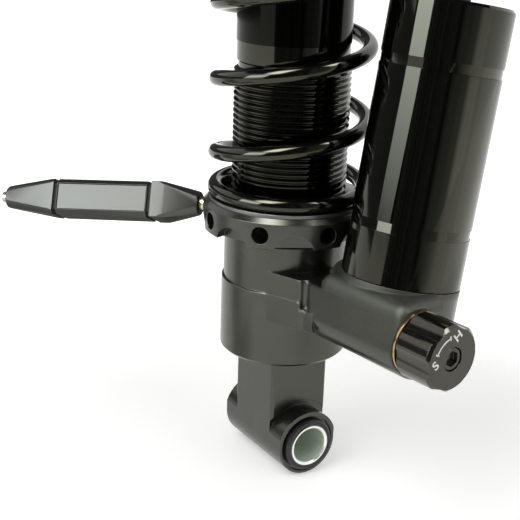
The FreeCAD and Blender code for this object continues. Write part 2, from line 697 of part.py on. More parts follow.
def make_reservoir():
    bore = "reservoir_radius - reservoir_wall"
    groove_top = "reservoir_top - circlip_edge"
    groove_floor = "reservoir_top - circlip_edge - circlip_thickness - 0.1"
    turned("reservoir_tube", [
        (bore, "reservoir_seam"),
        ("reservoir_radius - 0.4", "reservoir_seam"),
        ("reservoir_radius", "reservoir_seam + 0.4"),
        ("reservoir_radius", "lower_band - band_width"),
        ("reservoir_radius - band_depth", "lower_band - band_width"),
        ("reservoir_radius - band_depth", "lower_band"),
        ("reservoir_radius", "lower_band"),
        ("reservoir_radius", "upper_band - band_width"),
        ("reservoir_radius - band_depth", "upper_band - band_width"),
        ("reservoir_radius - band_depth", "upper_band"),
        ("reservoir_radius", "upper_band"),
        ("reservoir_radius", "reservoir_top - 1"),
        ("reservoir_radius - 1", "reservoir_top"),
        (bore, "reservoir_top"),
        (bore, groove_top),
        (f"{bore} + circlip_groove_depth", groove_top),
        (f"{bore} + circlip_groove_depth", groove_floor),
        (bore, groove_floor),
    ], reservoir_frame)
    cap_top = "reservoir_top - reservoir_cap_depth"
    cap_bottom = f"{cap_top} - reservoir_cap_height"
    seal_low = f"{cap_bottom} + cap_groove_height"
    dish = "gas_valve_flange + 1.5"
    turned("reservoir_cap", [
        ("gas_valve_radius + press_clearance", cap_bottom),
        (f"{bore} - press_clearance", cap_bottom),
        (f"{bore} - press_clearance", seal_low),
        (f"{bore} - cap_groove_depth", seal_low),
        (f"{bore} - cap_groove_depth", f"{seal_low} + cap_groove_height"),
        (f"{bore} - press_clearance", f"{seal_low} + cap_groove_height"),
        (f"{bore} - press_clearance", cap_top),
        (f"{bore} - 3", cap_top),
        (f"{bore} - 3.5", f"{cap_top} - 1.5"),
        (dish, f"{cap_top} - 1.5"),
        (dish, cap_top),
        ("gas_valve_radius + press_clearance", cap_top),
    ], reservoir_frame)
    seal_ring("reservoir_cap_seal", f"{bore} - cap_groove_depth / 2", "cap_seal_cord",
              f"{seal_low} + cap_groove_height / 2", reservoir_frame)
    ring("reservoir_circlip", f"{bore} - 1.6", f"{bore} + circlip_groove_depth - 0.1",
         f"{groove_top} - circlip_thickness - 0.05", f"{groove_top} - 0.05", reservoir_frame)
    lid = f"{cap_top} + valve_cap_height"
    turned("gas_valve", [
        ("gas_valve_bore", f"{cap_bottom} - 2"),
        ("gas_valve_radius", f"{cap_bottom} - 2"),
        ("gas_valve_radius", f"{cap_top} + 0.05"),
        ("gas_valve_flange", f"{cap_top} + 0.05"),
        ("gas_valve_flange", f"{cap_top} + 1.6"),
        ("gas_valve_radius - 0.2", f"{cap_top} + 1.6"),
        ("gas_valve_radius - 0.2", f"{lid} - 0.8"),
        ("gas_valve_bore", f"{lid} - 0.8"),
    ], reservoir_frame)
    turned("valve_cap", [
        ("gas_valve_radius - 0.1", f"{cap_top} + 1.8"),
        ("valve_cap_radius", f"{cap_top} + 1.8"),
        ("valve_cap_radius", f"{lid} + 0.8"),
        ("valve_cap_radius - 1", f"{lid} + 1.8"),
        ("0", f"{lid} + 1.8"),
        ("0", f"{lid} - 0.5"),
        ("gas_valve_radius - 0.1", f"{lid} - 0.5"),
    ], reservoir_frame)
    level = "floating_piston_level"
    roof = f"{level} + floating_piston_height"
    middle = f"{level} + floating_piston_height / 2"
    half_seal = "floating_seal_height / 2"
    turned("floating_piston", [
        ("0", level),
        (f"{bore} - running_clearance", level),
        (f"{bore} - running_clearance", f"{middle} - {half_seal} - 0.1"),
        (f"{bore} - 2.2", f"{middle} - {half_seal} - 0.1"),
        (f"{bore} - 2.2", f"{middle} + {half_seal} + 0.1"),
        (f"{bore} - running_clearance", f"{middle} + {half_seal} + 0.1"),
        (f"{bore} - running_clearance", roof),
        (f"{bore} - floating_piston_wall", roof),
        (f"{bore} - floating_piston_wall", f"{level} + floating_piston_floor"),
        ("0", f"{level} + floating_piston_floor"),
    ], reservoir_frame)
    ring("floating_piston_seal", f"{bore} - 2.15", f"{bore} - 0.02", f"{middle} - {half_seal}",
         f"{middle} + {half_seal}", reservoir_frame)
    seal_ring("reservoir_foot_seal", f"{bore} - foot_seal_cord - 0.2", "foot_seal_cord",
              "reservoir_seam + reservoir_spigot + foot_seal_cord + 0.05", reservoir_frame)


# Adjuster at the arm's end, in the knob's frame: Z runs out of the arm

def make_adjuster():
    gasket = "adjuster_gasket_width"
    ring_top = f"{gasket} + adjuster_ring_width"
    knob_floor = f"{ring_top} + 0.3"
    knob_top = f"{knob_floor} + knob_length"
    web = f"{knob_floor} + knob_hollow"
    screw_end = f"{knob_top} - knob_screw_length"
    stem = "needle_stem"
    turned("adjuster_cartridge", [
        (f"{stem} + running_clearance", "-cartridge_depth + 4"),
        ("2.6", "-cartridge_depth + 1"),
        ("cartridge_radius", "-cartridge_depth + 1"),
        ("cartridge_radius", f"{web} - 0.5"),
        (f"{stem} + running_clearance", f"{web} - 0.5"),
    ], knob_frame)
    ring("adjuster_gasket", "cartridge_radius + press_clearance", "adjuster_ring_radius + 0.25", "0.02", gasket,
         knob_frame)
    ring("adjuster_ring", "cartridge_radius + press_clearance", "adjuster_ring_radius", gasket, ring_top,
         knob_frame)
    turned("adjuster_needle", [
        ("0", "-cartridge_depth - needle_reach + 1"),
        (stem, "-cartridge_depth + 5"),
        (stem, f"{screw_end} - 0.6"),
        ("0", f"{screw_end} - 0.6"),
    ], knob_frame)
    seal_ring("needle_seal", "cartridge_radius - 0.5", "needle_seal_cord", "-cartridge_depth + 0.5", knob_frame)
    body = turned_body("adjuster_knob", [
        (f"{stem} + press_clearance", web),
        ("cartridge_radius + 0.4", web),
        ("cartridge_radius + 0.4", knob_floor),
        ("knob_radius - 0.5", knob_floor),
        ("knob_radius", f"{knob_floor} + 0.5"),
        ("knob_radius", f"{knob_top} - knob_rim"),
        ("knob_radius - knob_rim", knob_top),
        ("knob_recess_radius", knob_top),
        ("knob_recess_radius", f"{knob_top} - knob_recess_depth"),
        ("knob_screw_radius + running_clearance", f"{knob_top} - knob_recess_depth"),
        ("knob_screw_radius + running_clearance", f"{screw_end} - 0.1"),
        (f"{stem} + press_clearance", f"{screw_end} - 0.1"),
    ])
    scallop_out = "knob_radius + knob_scallop_radius - knob_scallop_depth"
    scallop_sketch = round_sketch(body, "scallop", scallop_out, "0", "knob_scallop_radius", "XY_Plane",
                                  at("0", "0", knob_floor + " - 1"))
    scallop = body.newObject("PartDesign::Pocket", "scallop_cut")
    scallop.Profile = scallop_sketch
    tie(scallop, "Length", "knob_length + 2")
    scallop.Reversed = True
    doc.recompute()
    fan = body.newObject("PartDesign::PolarPattern", "scallops")
    fan.Originals = [scallop]
    fan.Axis = (origin_part(body, "Z_Axis"), [""])
    fan.Angle = 360
    tie(fan, "Occurrences", "knob_scallops")
    body.Tip = fan
    body.Placement = knob_frame.multiply(Placement(Vector(), Rotation(UP, size("knob_turned"))))
    keep("adjuster_knob", body)
    screw = turned_body("knob_screw_blank", [
        ("0", screw_end),
        ("knob_screw_radius", screw_end),
        ("knob_screw_radius", f"{knob_top} - knob_recess_depth + press_clearance"),
        ("knob_recess_radius - 0.2", f"{knob_top} - knob_recess_depth + press_clearance"),
        ("knob_recess_radius - 0.2", f"{knob_top} - 0.6"),
        ("knob_recess_radius - 0.5", f"{knob_top} - 0.3"),
        ("0", f"{knob_top} - 0.3"),
    ])
    key = doc.addObject("Part::Prism", "screw_key")
    key.Polygon = 6
    tie(key, "Circumradius", "knob_key_corner")
    tie(key, "Height", "knob_recess_depth")
    key.Placement = at("0", "0", f"{knob_top} - 1.9")
    screw_cut = cut("knob_screw", screw, key)
    screw_cut.Placement = knob_frame
    keep("knob_screw", screw_cut)


# Collar with its holes for the turning rod and its notches, and the washer that the spring stands on

def make_collar():
    body = turned_body("preload_collar", [
        ("tube_thread / 2 + thread_clearance", "collar_bottom"),
        ("collar_radius - 0.4", "collar_bottom"),
        ("collar_radius", "collar_bottom + 0.4"),
        ("collar_radius", "collar_bottom + collar_height - collar_chamfer"),
        ("collar_radius - collar_chamfer", "collar_bottom + collar_height"),
        ("tube_thread / 2 + thread_clearance", "collar_bottom + collar_height"),
    ])
    outward = at("0", "0", "collar_hole_floor")
    hole_sketch = round_sketch(body, "rod_hole", "0", "collar_bottom + collar_hole_level",
                               "collar_hole / 2", "YZ_Plane", outward)
    tie(hole_sketch, "AttachmentOffset.Base.z", "collar_hole_floor")
    hole = body.newObject("PartDesign::Pocket", "rod_hole_cut")
    hole.Profile = hole_sketch
    tie(hole, "Length", "collar_radius - collar_hole_floor + 1")
    hole.Reversed = True
    doc.recompute()
    holes = body.newObject("PartDesign::PolarPattern", "rod_holes")
    holes.Originals = [hole]
    holes.Axis = (origin_part(body, "Z_Axis"), [""])
    holes.Angle = 360
    tie(holes, "Occurrences", "collar_holes")
    body.Tip = holes
    doc.recompute()
    half_step = Rotation(Vector(0, 1, 0), 180 / size("collar_holes"))
    to_notch = Placement(half_step.multVec(Vector(0, 0, size("notch_floor"))), half_step)
    notch_sketch = round_sketch(body, "notch", "0", "collar_bottom - notch_drop", "notch_radius",
                                "YZ_Plane", to_notch)
    notch = body.newObject("PartDesign::Pocket", "notch_cut")
    notch.Profile = notch_sketch
    tie(notch, "Length", "collar_radius - notch_floor + 1")
    notch.Reversed = True
    doc.recompute()
    notches = body.newObject("PartDesign::PolarPattern", "notches")
    notches.Originals = [notch]
    notches.Axis = (origin_part(body, "Z_Axis"), [""])
    notches.Angle = 360
    tie(notches, "Occurrences", "collar_holes")
    body.Tip = notches
    body.Placement = Placement(Vector(), Rotation(UP, size("collar_turned")))
    keep("preload_collar", body)
    floor = "collar_bottom + collar_height"
    ring("seat_washer", "tube_thread / 2 + thread_clearance + 0.4", "washer_radius", floor,
         f"{floor} + washer_thickness")


# Main spring: one wire wound to the right, with a closed turn at each end

SPRING_FLOOR = "collar_bottom + collar_height + washer_thickness"
CLOSED_RISE = "spring_wire + spring_close_gap"
SPRING_LENGTH = "2 * (spring_wire + spring_close_gap) + spring_active_turns * spring_pitch + spring_wire"
SPRING_TOP = f"{SPRING_FLOOR} + {SPRING_LENGTH} + running_clearance"


def coil_height(turn):
    """The wire's centre over its lowest point after some turns."""
    closed = size(CLOSED_RISE)
    pitch = size("spring_pitch")
    active = size("spring_active_turns")
    if turn <= 1:
        return closed * turn
    if turn <= 1 + active:
        return closed + pitch * (turn - 1)
    return closed + pitch * active + closed * (turn - 1 - active)


def coil_point(turn):
    angle = math.radians(size("spring_start")) + 2 * math.pi * turn
    radius = size("spring_radius")
    low = size(SPRING_FLOOR) + size("spring_wire") / 2
    return Vector(radius * math.cos(angle), radius * math.sin(angle), low + coil_height(turn))


def coil_direction(turn, step):
    """The wire's direction, from the heights a quarter turn either way."""
    turns = 2 + size("spring_active_turns")
    before = max(turn - step, 0)
    after = min(turn + step, turns)
    climb = (coil_height(after) - coil_height(before)) / (after - before)
    if before == turn or after == turn:
        climb = size(CLOSED_RISE)
    angle = math.radians(size("spring_start")) + 2 * math.pi * turn
    around = 2 * math.pi * size("spring_radius")
    return Vector(-around * math.sin(angle), around * math.cos(angle), climb).normalize()


def arc_from(start, direction, end):
    """The arc that leaves start in a direction and ends at end."""
    chord = end - start
    inward = (chord - direction * chord.dot(direction)).normalize()
    radius = chord.dot(chord) / (2 * chord.dot(inward))
    centre = start + inward * radius
    middle = (start + end) * 0.5 - centre
    return Part.Arc(start, centre + middle.normalize() * radius, end).toShape()


def biarc(start, leave, end, arrive):
    """Two arcs that meet smoothly and keep both given directions."""
    span = end - start
    both = leave + arrive
    bend = 2 * (1 - leave.dot(arrive))
    reach = (-span.dot(both) + math.sqrt(span.dot(both) ** 2 + bend * span.dot(span))) / bend
    joint = (start + end + (leave - arrive) * reach) * 0.5
    first = arc_from(start, leave, joint)
    second = arc_from(end, arrive * -1, joint)
    back = Part.Arc(joint, second.valueAt((second.FirstParameter + second.LastParameter) / 2), end)
    return [first, back.toShape()]


def make_spring():
    quarter = 0.25
    turns = 2 + size("spring_active_turns")
    steps = round(turns / quarter)
    path = []
    for i in range(steps):
        here = turns * i / steps
        there = turns * (i + 1) / steps
        path += biarc(coil_point(here), coil_direction(here, quarter),
                      coil_point(there), coil_direction(there, quarter))
    centre_line = Part.Wire(path)
    round_wire = Part.Circle(coil_point(0), coil_direction(0, quarter), size("spring_wire") / 2)
    section = Part.Wire(round_wire.toShape())
    wire = centre_line.makePipeShell([section], True, False)
    spring = doc.addObject("Part::Feature", "main_spring")
    spring.Shape = wire
    samples = [coil_point(i / 90) for i in range(round(turns * 90) + 1)]
    gap = min(a.distanceToPoint(b) for i, a in enumerate(samples) for b in samples[i + 60:])
    print("least gap between the spring's turns:", round(gap - size("spring_wire"), 2))
    print("spring volume over section times length:",
          round(wire.Volume / (math.pi * size("spring_wire") ** 2 / 4 * centre_line.Length), 4))
    keep("main_spring", spring)


# Rod, piston and its valves

def make_rod():
    rod = "rod_diameter / 2"
    shoulder = f"{SPRING_TOP} + seat_thickness"
    rubbers = "2 * cup_thickness + 2 * rubber_height + spigot_height"
    stud_top = f"{shoulder} + {rubbers} + stud_nut_height + stud_stand_out"
    turned("piston_rod", [
        ("0", "rod_tail_bottom"),
        ("rod_tail_radius - 0.5", "rod_tail_bottom"),
        ("rod_tail_radius", "rod_tail_bottom + 0.5"),
        ("rod_tail_radius", "piston_seat"),
        (rod, "piston_seat"),
        (rod, shoulder),
        ("stud_radius", shoulder),
        ("stud_radius", f"{stud_top} - 1"),
        ("stud_radius - 1", stud_top),
        ("0", stud_top),
    ])
    tail = "rod_tail_radius + press_clearance"
    plate = "piston_seat - plate_thickness"
    stack = "shim_count * shim_thickness"
    piston_top = f"{plate} - {stack}"
    piston_bottom = f"{piston_top} - piston_height"
    ring("rebound_plate", tail, "shim_radius - 2", plate, "piston_seat - 0.02")
    make_shims("upper_shims", plate, True)
    band_low = f"{piston_top} - piston_height / 2 - piston_band_height / 2"
    band_high = f"{band_low} + piston_band_height"
    blank = turned_body("piston_blank", [
        (tail, piston_bottom),
        ("piston_radius", piston_bottom),
        ("piston_radius", band_low),
        ("piston_radius - piston_band_depth", band_low),
        ("piston_radius - piston_band_depth", band_high),
        ("piston_radius", band_high),
        ("piston_radius", f"{piston_top} - 0.02"),
        (tail, f"{piston_top} - 0.02"),
    ])
    ports = []
    port_count = round(size("piston_ports"))
    for i in range(port_count):
        turn = Placement(Vector(), Rotation(UP, 360 * i / port_count))
        ports.append(cylinder(f"piston_port_{i}", "piston_port_radius", "piston_height + 2",
                              turn.multiply(at("shim_radius - 2.6", "0", f"{piston_bottom} - 1"))))
    keep("piston", cut("piston", blank, joined("piston_ports", ports)))
    ring("piston_band", "piston_radius - piston_band_depth + press_clearance", "tube_bore / 2 - 0.03",
         f"{band_low} + 0.05", f"{band_high} - 0.05")
    make_shims("lower_shims", piston_bottom, False)
    nut_top = f"{piston_bottom} - {stack}"
    hexagon_nut("piston_nut", "piston_nut_corner", tail, f"{nut_top} - piston_nut_height",
                "piston_nut_height - 0.02")
    ring("rebound_bumper", f"{rod} + press_clearance", "shim_radius - 1", "piston_seat + 0.02",
         "piston_seat + bumper_height")


def make_shims(label, top, widens_down):
    """A stack of thin valve discs. The widest lies against the piston."""
    discs = []
    count = round(size("shim_count"))
    for i in range(count):
        low = f"{top} - {i + 1} * shim_thickness"
        steps_in = count - 1 - i if widens_down else i
        smaller = f"shim_radius - {steps_in} * shim_step"
        discs.append(turned_body(f"{label}_{i}", [
            ("rod_tail_radius + press_clearance", low),
            (smaller, low),
            (smaller, f"{low} + shim_thickness - 0.02"),
            ("rod_tail_radius + press_clearance", f"{low} + shim_thickness - 0.02"),
        ]))
    stack = doc.addObject("Part::Compound", label)
    stack.Links = discs
    keep(label, stack)


def hexagon_nut(label, corner_radius, bore, bottom, height):
    prism = doc.addObject("Part::Prism", label + "_prism")
    prism.Polygon = 6
    tie(prism, "Circumradius", corner_radius)
    tie(prism, "Height", height)
    prism.Placement = at("0", "0", bottom)
    hole = cylinder(label + "_hole", bore, f"{height} + 2", at("0", "0", f"{bottom} - 1"))
    return keep(label, cut(label, prism, hole))


# Top mount: spring seat, cups, rubbers and nut

def make_top_mount():
    rod = "rod_diameter / 2"
    wall = "spring_radius - spring_wire / 2 - 0.6"
    turned("upper_seat", [
        (f"{rod} + press_clearance", SPRING_TOP),
        (f"{rod} + seat_hub", SPRING_TOP),
        (f"{wall} - seat_lip_wall", SPRING_TOP),
        (f"{wall} - seat_lip_wall", f"{SPRING_TOP} - seat_lip"),
        (f"{wall} - 1", f"{SPRING_TOP} - seat_lip"),
        (wall, f"{SPRING_TOP} - seat_lip + 1"),
        (wall, SPRING_TOP),
        ("seat_radius", SPRING_TOP),
        ("seat_radius", f"{SPRING_TOP} + seat_thickness - 1"),
        ("seat_radius - 1", f"{SPRING_TOP} + seat_thickness"),
        (f"{rod} + press_clearance", f"{SPRING_TOP} + seat_thickness"),
    ])
    wiper_top = "tube_top + cap_flange + wiper_stand_out"
    bumper_low = f"{wiper_top} + stroke + bump_stop_gap"
    wide = f"{rod} + bump_stop_wall"
    turned("bump_stop", [
        (f"{rod} + press_clearance", bumper_low),
        (f"{wide} - bump_stop_wall / 2", bumper_low),
        (f"{wide} - 0.6", f"{bumper_low} + 1"),
        (wide, f"({bumper_low} + {SPRING_TOP}) / 2"),
        (f"{wide} - 0.6", SPRING_TOP),
        (f"{rod} + press_clearance", SPRING_TOP),
    ])
    floor = f"{SPRING_TOP} + seat_thickness"
    stud = "stud_radius + press_clearance"
    turned("lower_cup", cup_outline(stud, floor, 1))
    rubber = f"{floor} + cup_thickness"
    turned("lower_rubber", [
        (stud, rubber),
        ("rubber_radius - 1", rubber),
        ("rubber_radius", f"{rubber} + rubber_height / 2"),
        ("rubber_radius - 1", f"{rubber} + rubber_height"),
        ("spigot_radius", f"{rubber} + rubber_height"),
        ("spigot_radius", f"{rubber} + rubber_height + spigot_height"),
        (stud, f"{rubber} + rubber_height + spigot_height"),
    ])
    upper = f"{rubber} + rubber_height + spigot_height"
    turned("upper_rubber", [
        (stud, upper),
        ("rubber_radius - 1", upper),
        ("rubber_radius", f"{upper} + rubber_height / 2"),
        ("rubber_radius - 1", f"{upper} + rubber_height"),
        (stud, f"{upper} + rubber_height"),
    ])
    turned("upper_cup", cup_outline(stud, f"{upper} + rubber_height", -1))
    hexagon_nut("stud_nut", "stud_nut_flats / sqrt(3)", stud, f"{upper} + rubber_height + cup_thickness",
                "stud_nut_height")


def cup_outline(bore, floor, side):
    """A dished washer. Its rim turns up (1) or down (-1) over the rubber."""
    inside = "cup_radius - cup_rim_wall"
    top = f"{floor} + cup_thickness"
    if side > 0:
        return [(bore, floor), ("cup_radius - 1", floor), ("cup_radius", f"{floor} + 1"),
                ("cup_radius", f"{top} + cup_rim"), (inside, f"{top} + cup_rim"), (inside, top), (bore, top)]
    return [(bore, floor), (inside, floor), (inside, f"{floor} - cup_rim"),
            ("cup_radius", f"{floor} - cup_rim"), ("cup_radius", f"{top} - 1"), ("cup_radius - 1", top),
            (bore, top)]


# Turning rod, plugged into one of the collar's holes: Z runs out along it from the hole's mouth

def turning_rod_frame():
    hole_angle = size("collar_turned") - 3 * 360 / size("collar_holes")
    mouth = Rotation(UP, hole_angle).multVec(Vector(size("collar_radius"), 0, 0))
    level = size("collar_bottom + collar_hole_level - turning_rod_drop")
    outward = Rotation(UP, size("turning_rod_yaw")).multiply(
        Rotation(Vector(0, 1, 0), 90 + size("turning_rod_droop"))).multiply(
        Rotation(UP, size("turning_rod_roll")))
    return Placement(mouth + Vector(0, 0, level), outward)


def make_turning_rod():
    frame = turning_rod_frame()
    start = "turning_rod_start"
    end = "turning_rod_start + turning_rod_length"
    half = "turning_rod_across / 2"
    swell = f"{half} + turning_rod_swell"
    square = box("handle_square", "turning_rod_across", "turning_rod_across", "turning_rod_length",
                 at(f"-{half}", f"-{half}", start))
    facets = doc.addObject("Part::Chamfer", "handle_facets")
    facets.Base = square
    doc.recompute()
    leg = size("turning_rod_across * turning_rod_facet")
    long_edges = [i for i, edge in enumerate(square.Shape.Edges, start=1)
                  if edge.Length > size("turning_rod_length") - 0.01]
    facets.Edges = [(i, leg, leg) for i in long_edges]
    cones = turned_body("handle_cones", [
        ("0", start),
        ("turning_rod_neck / 2", start),
        (half, f"{start} + turning_rod_taper"),
        (swell, f"{start} + turning_rod_taper * 1.6"),
        (swell, f"{end} - turning_rod_taper * 1.6"),
        (half, f"{end} - turning_rod_taper"),
        ("turning_rod_tail / 2", end),
        ("0", end),
    ])
    blank = shared("handle_blank", facets, cones)
    middle = f"{start} + turning_rod_length / 2"
    panel_low = f"{middle} - panel_length / 2 - panel_shift"
    panel = box("handle_panel", "panel_width", "panel_depth", "panel_length",
                at("-panel_width / 2", f"{half} - panel_depth", panel_low))
    cuts = [panel]
    for side, level in (("near", f"{panel_low} - handle_groove_gap - handle_groove_width"),
                        ("far", f"{panel_low} + panel_length + handle_groove_gap")):
        around = box(f"groove_around_{side}", "2 * turning_rod_across", "2 * turning_rod_across",
                     "handle_groove_width", at("-turning_rod_across", "-turning_rod_across", level))
        core_side = "turning_rod_across - 2 * handle_groove_depth"
        core = box(f"groove_core_{side}", core_side, core_side, "handle_groove_width",
                   at(f"-({core_side}) / 2", f"-({core_side}) / 2", level))
        cuts.append(cut(f"handle_groove_{side}", around, core))
    cuts.append(cylinder("handle_pin_hole", "turning_pin_radius + press_clearance", "turning_pin_grip + 1.1",
                         at("0", "0", f"{start} - 1")))
    cuts.append(cylinder("handle_tail_hole", "turning_plug_radius + press_clearance", "turning_plug_grip + 1.1",
                         at("0", "0", f"{end} - turning_plug_grip - 0.1")))
    handle = cut("turning_rod_handle", blank, joined("handle_cuts", cuts))
    handle.Placement = frame
    keep("turning_rod_handle", handle)
    turned("turning_rod_pin", [
        ("0", "-turning_pin_reach"),
        ("turning_pin_radius - 0.6", "-turning_pin_reach"),
        ("turning_pin_radius", "-turning_pin_reach + 0.8"),
        ("turning_pin_radius", f"{start} + turning_pin_grip"),
        ("0", f"{start} + turning_pin_grip"),
    ], frame)
    turned("turning_rod_plug", [
        ("0", f"{end} - turning_plug_grip"),
        ("turning_plug_radius", f"{end} - turning_plug_grip"),
        ("turning_plug_radius", f"{end} + turning_plug_stand_out - 0.4"),
        ("turning_plug_radius - 0.4", f"{end} + turning_plug_stand_out"),
        ("0", f"{end} + turning_plug_stand_out"),
    ], frame)


make_lower_body()
make_eye_fittings()
make_damper_tube()
make_rod_guide()
make_reservoir()
make_adjuster()
make_collar()
make_spring()
make_rod()
make_top_mount()
make_turning_rod()
doc.recompute()

for thing in doc.Objects:
    if {"Invalid", "Error"} & set(thing.State):
        raise RuntimeError(f"{thing.Label} failed: {thing.State}")
for label, thing in pieces.items():
    if thing.Shape.isNull() or not thing.Shape.isValid():
        raise RuntimeError(f"{label} has no sound shape")

os.makedirs("parts", exist_ok=True)
for label, thing in pieces.items():
    thing.Shape.exportStep(f"parts/{label}.step")
    print(label, len(thing.Shape.Solids), round(thing.Shape.Volume, 1))
print(len(pieces), "nodes")
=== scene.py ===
import json
import math
import bmesh
import bpy
from mathutils import Matrix, Vector


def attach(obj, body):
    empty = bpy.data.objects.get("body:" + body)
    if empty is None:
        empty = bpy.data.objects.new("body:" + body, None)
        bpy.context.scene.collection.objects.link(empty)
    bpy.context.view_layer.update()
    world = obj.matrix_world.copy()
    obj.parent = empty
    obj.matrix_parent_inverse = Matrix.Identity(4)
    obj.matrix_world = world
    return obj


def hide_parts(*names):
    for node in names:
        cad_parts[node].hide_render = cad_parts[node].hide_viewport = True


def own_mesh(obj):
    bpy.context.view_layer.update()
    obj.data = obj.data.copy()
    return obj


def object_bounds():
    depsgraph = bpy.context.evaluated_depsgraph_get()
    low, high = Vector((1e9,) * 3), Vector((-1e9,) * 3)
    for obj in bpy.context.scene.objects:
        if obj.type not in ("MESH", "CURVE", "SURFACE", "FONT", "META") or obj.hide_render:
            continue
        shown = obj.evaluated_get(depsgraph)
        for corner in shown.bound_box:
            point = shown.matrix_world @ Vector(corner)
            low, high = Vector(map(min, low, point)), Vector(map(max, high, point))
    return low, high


# Front shock absorber of a scooter: a black coil spring round a threaded damper, a leaning reservoir,
# a dark knob and the rod that turns the collar. Metres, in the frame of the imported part.

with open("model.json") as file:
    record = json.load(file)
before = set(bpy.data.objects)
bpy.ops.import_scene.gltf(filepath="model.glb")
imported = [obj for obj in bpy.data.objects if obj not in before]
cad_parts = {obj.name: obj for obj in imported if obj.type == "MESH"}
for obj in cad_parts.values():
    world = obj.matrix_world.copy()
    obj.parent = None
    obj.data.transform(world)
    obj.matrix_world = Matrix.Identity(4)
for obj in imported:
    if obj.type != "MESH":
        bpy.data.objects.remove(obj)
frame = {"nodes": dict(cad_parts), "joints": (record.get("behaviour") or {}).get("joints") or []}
cad_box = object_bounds()
nodes = frame["nodes"]

MM = 0.001


# Where the pieces are, read from the frame

def joint(name):
    """The frame's row for a joint."""
    return next(j for j in frame["joints"] if j["name"] == name)


UP = Vector((0, 0, 1))
KNOB_AXIS = Vector(joint("knob_turn")["axis"])
KNOB_BASE = Vector(joint("knob_turn")["pos_m"])
KNOB_FACE_OUT = 15.8
KNOB_FACE = KNOB_BASE + KNOB_AXIS * KNOB_FACE_OUT * MM
RESERVOIR_AXIS = Vector(joint("gas_piston_slide")["axis"])
RESERVOIR_FOOT = Vector((48.32, 10.91, 55.9)) * MM
COLLAR_RADIUS = 29.7
COLLAR_HOLES_HEIGHT = 81.9


def turned(angle, axis):
    """A turn by an angle in degrees."""
    return Matrix.Rotation(math.radians(angle), 4, axis)


def handle_place():
    """The turning rod's place: Z runs out along it from the mouth of its hole in the collar."""
    hole, heading, tilt, roll = -141, -137, 94.2, 26
    mouth = turned(hole, "Z") @ Vector((COLLAR_RADIUS, 0, 0)) + Vector((0, 0, COLLAR_HOLES_HEIGHT))
    return Matrix.Translation(mouth * MM) @ turned(heading, "Z") @ turned(tilt, "Y") @ turned(roll, "Z")


# Materials. Each pattern is laid on object coordinates.

MIX_FIRST, MIX_SECOND, MIX_RESULT = 6, 7, 2    # the colour sockets of a Mix node
LACQUER_SHADE = 0.0015
BODY_SHADE = (0.088, 0.089, 0.078)
WARM_WHITE = (1, 1, 0.97)


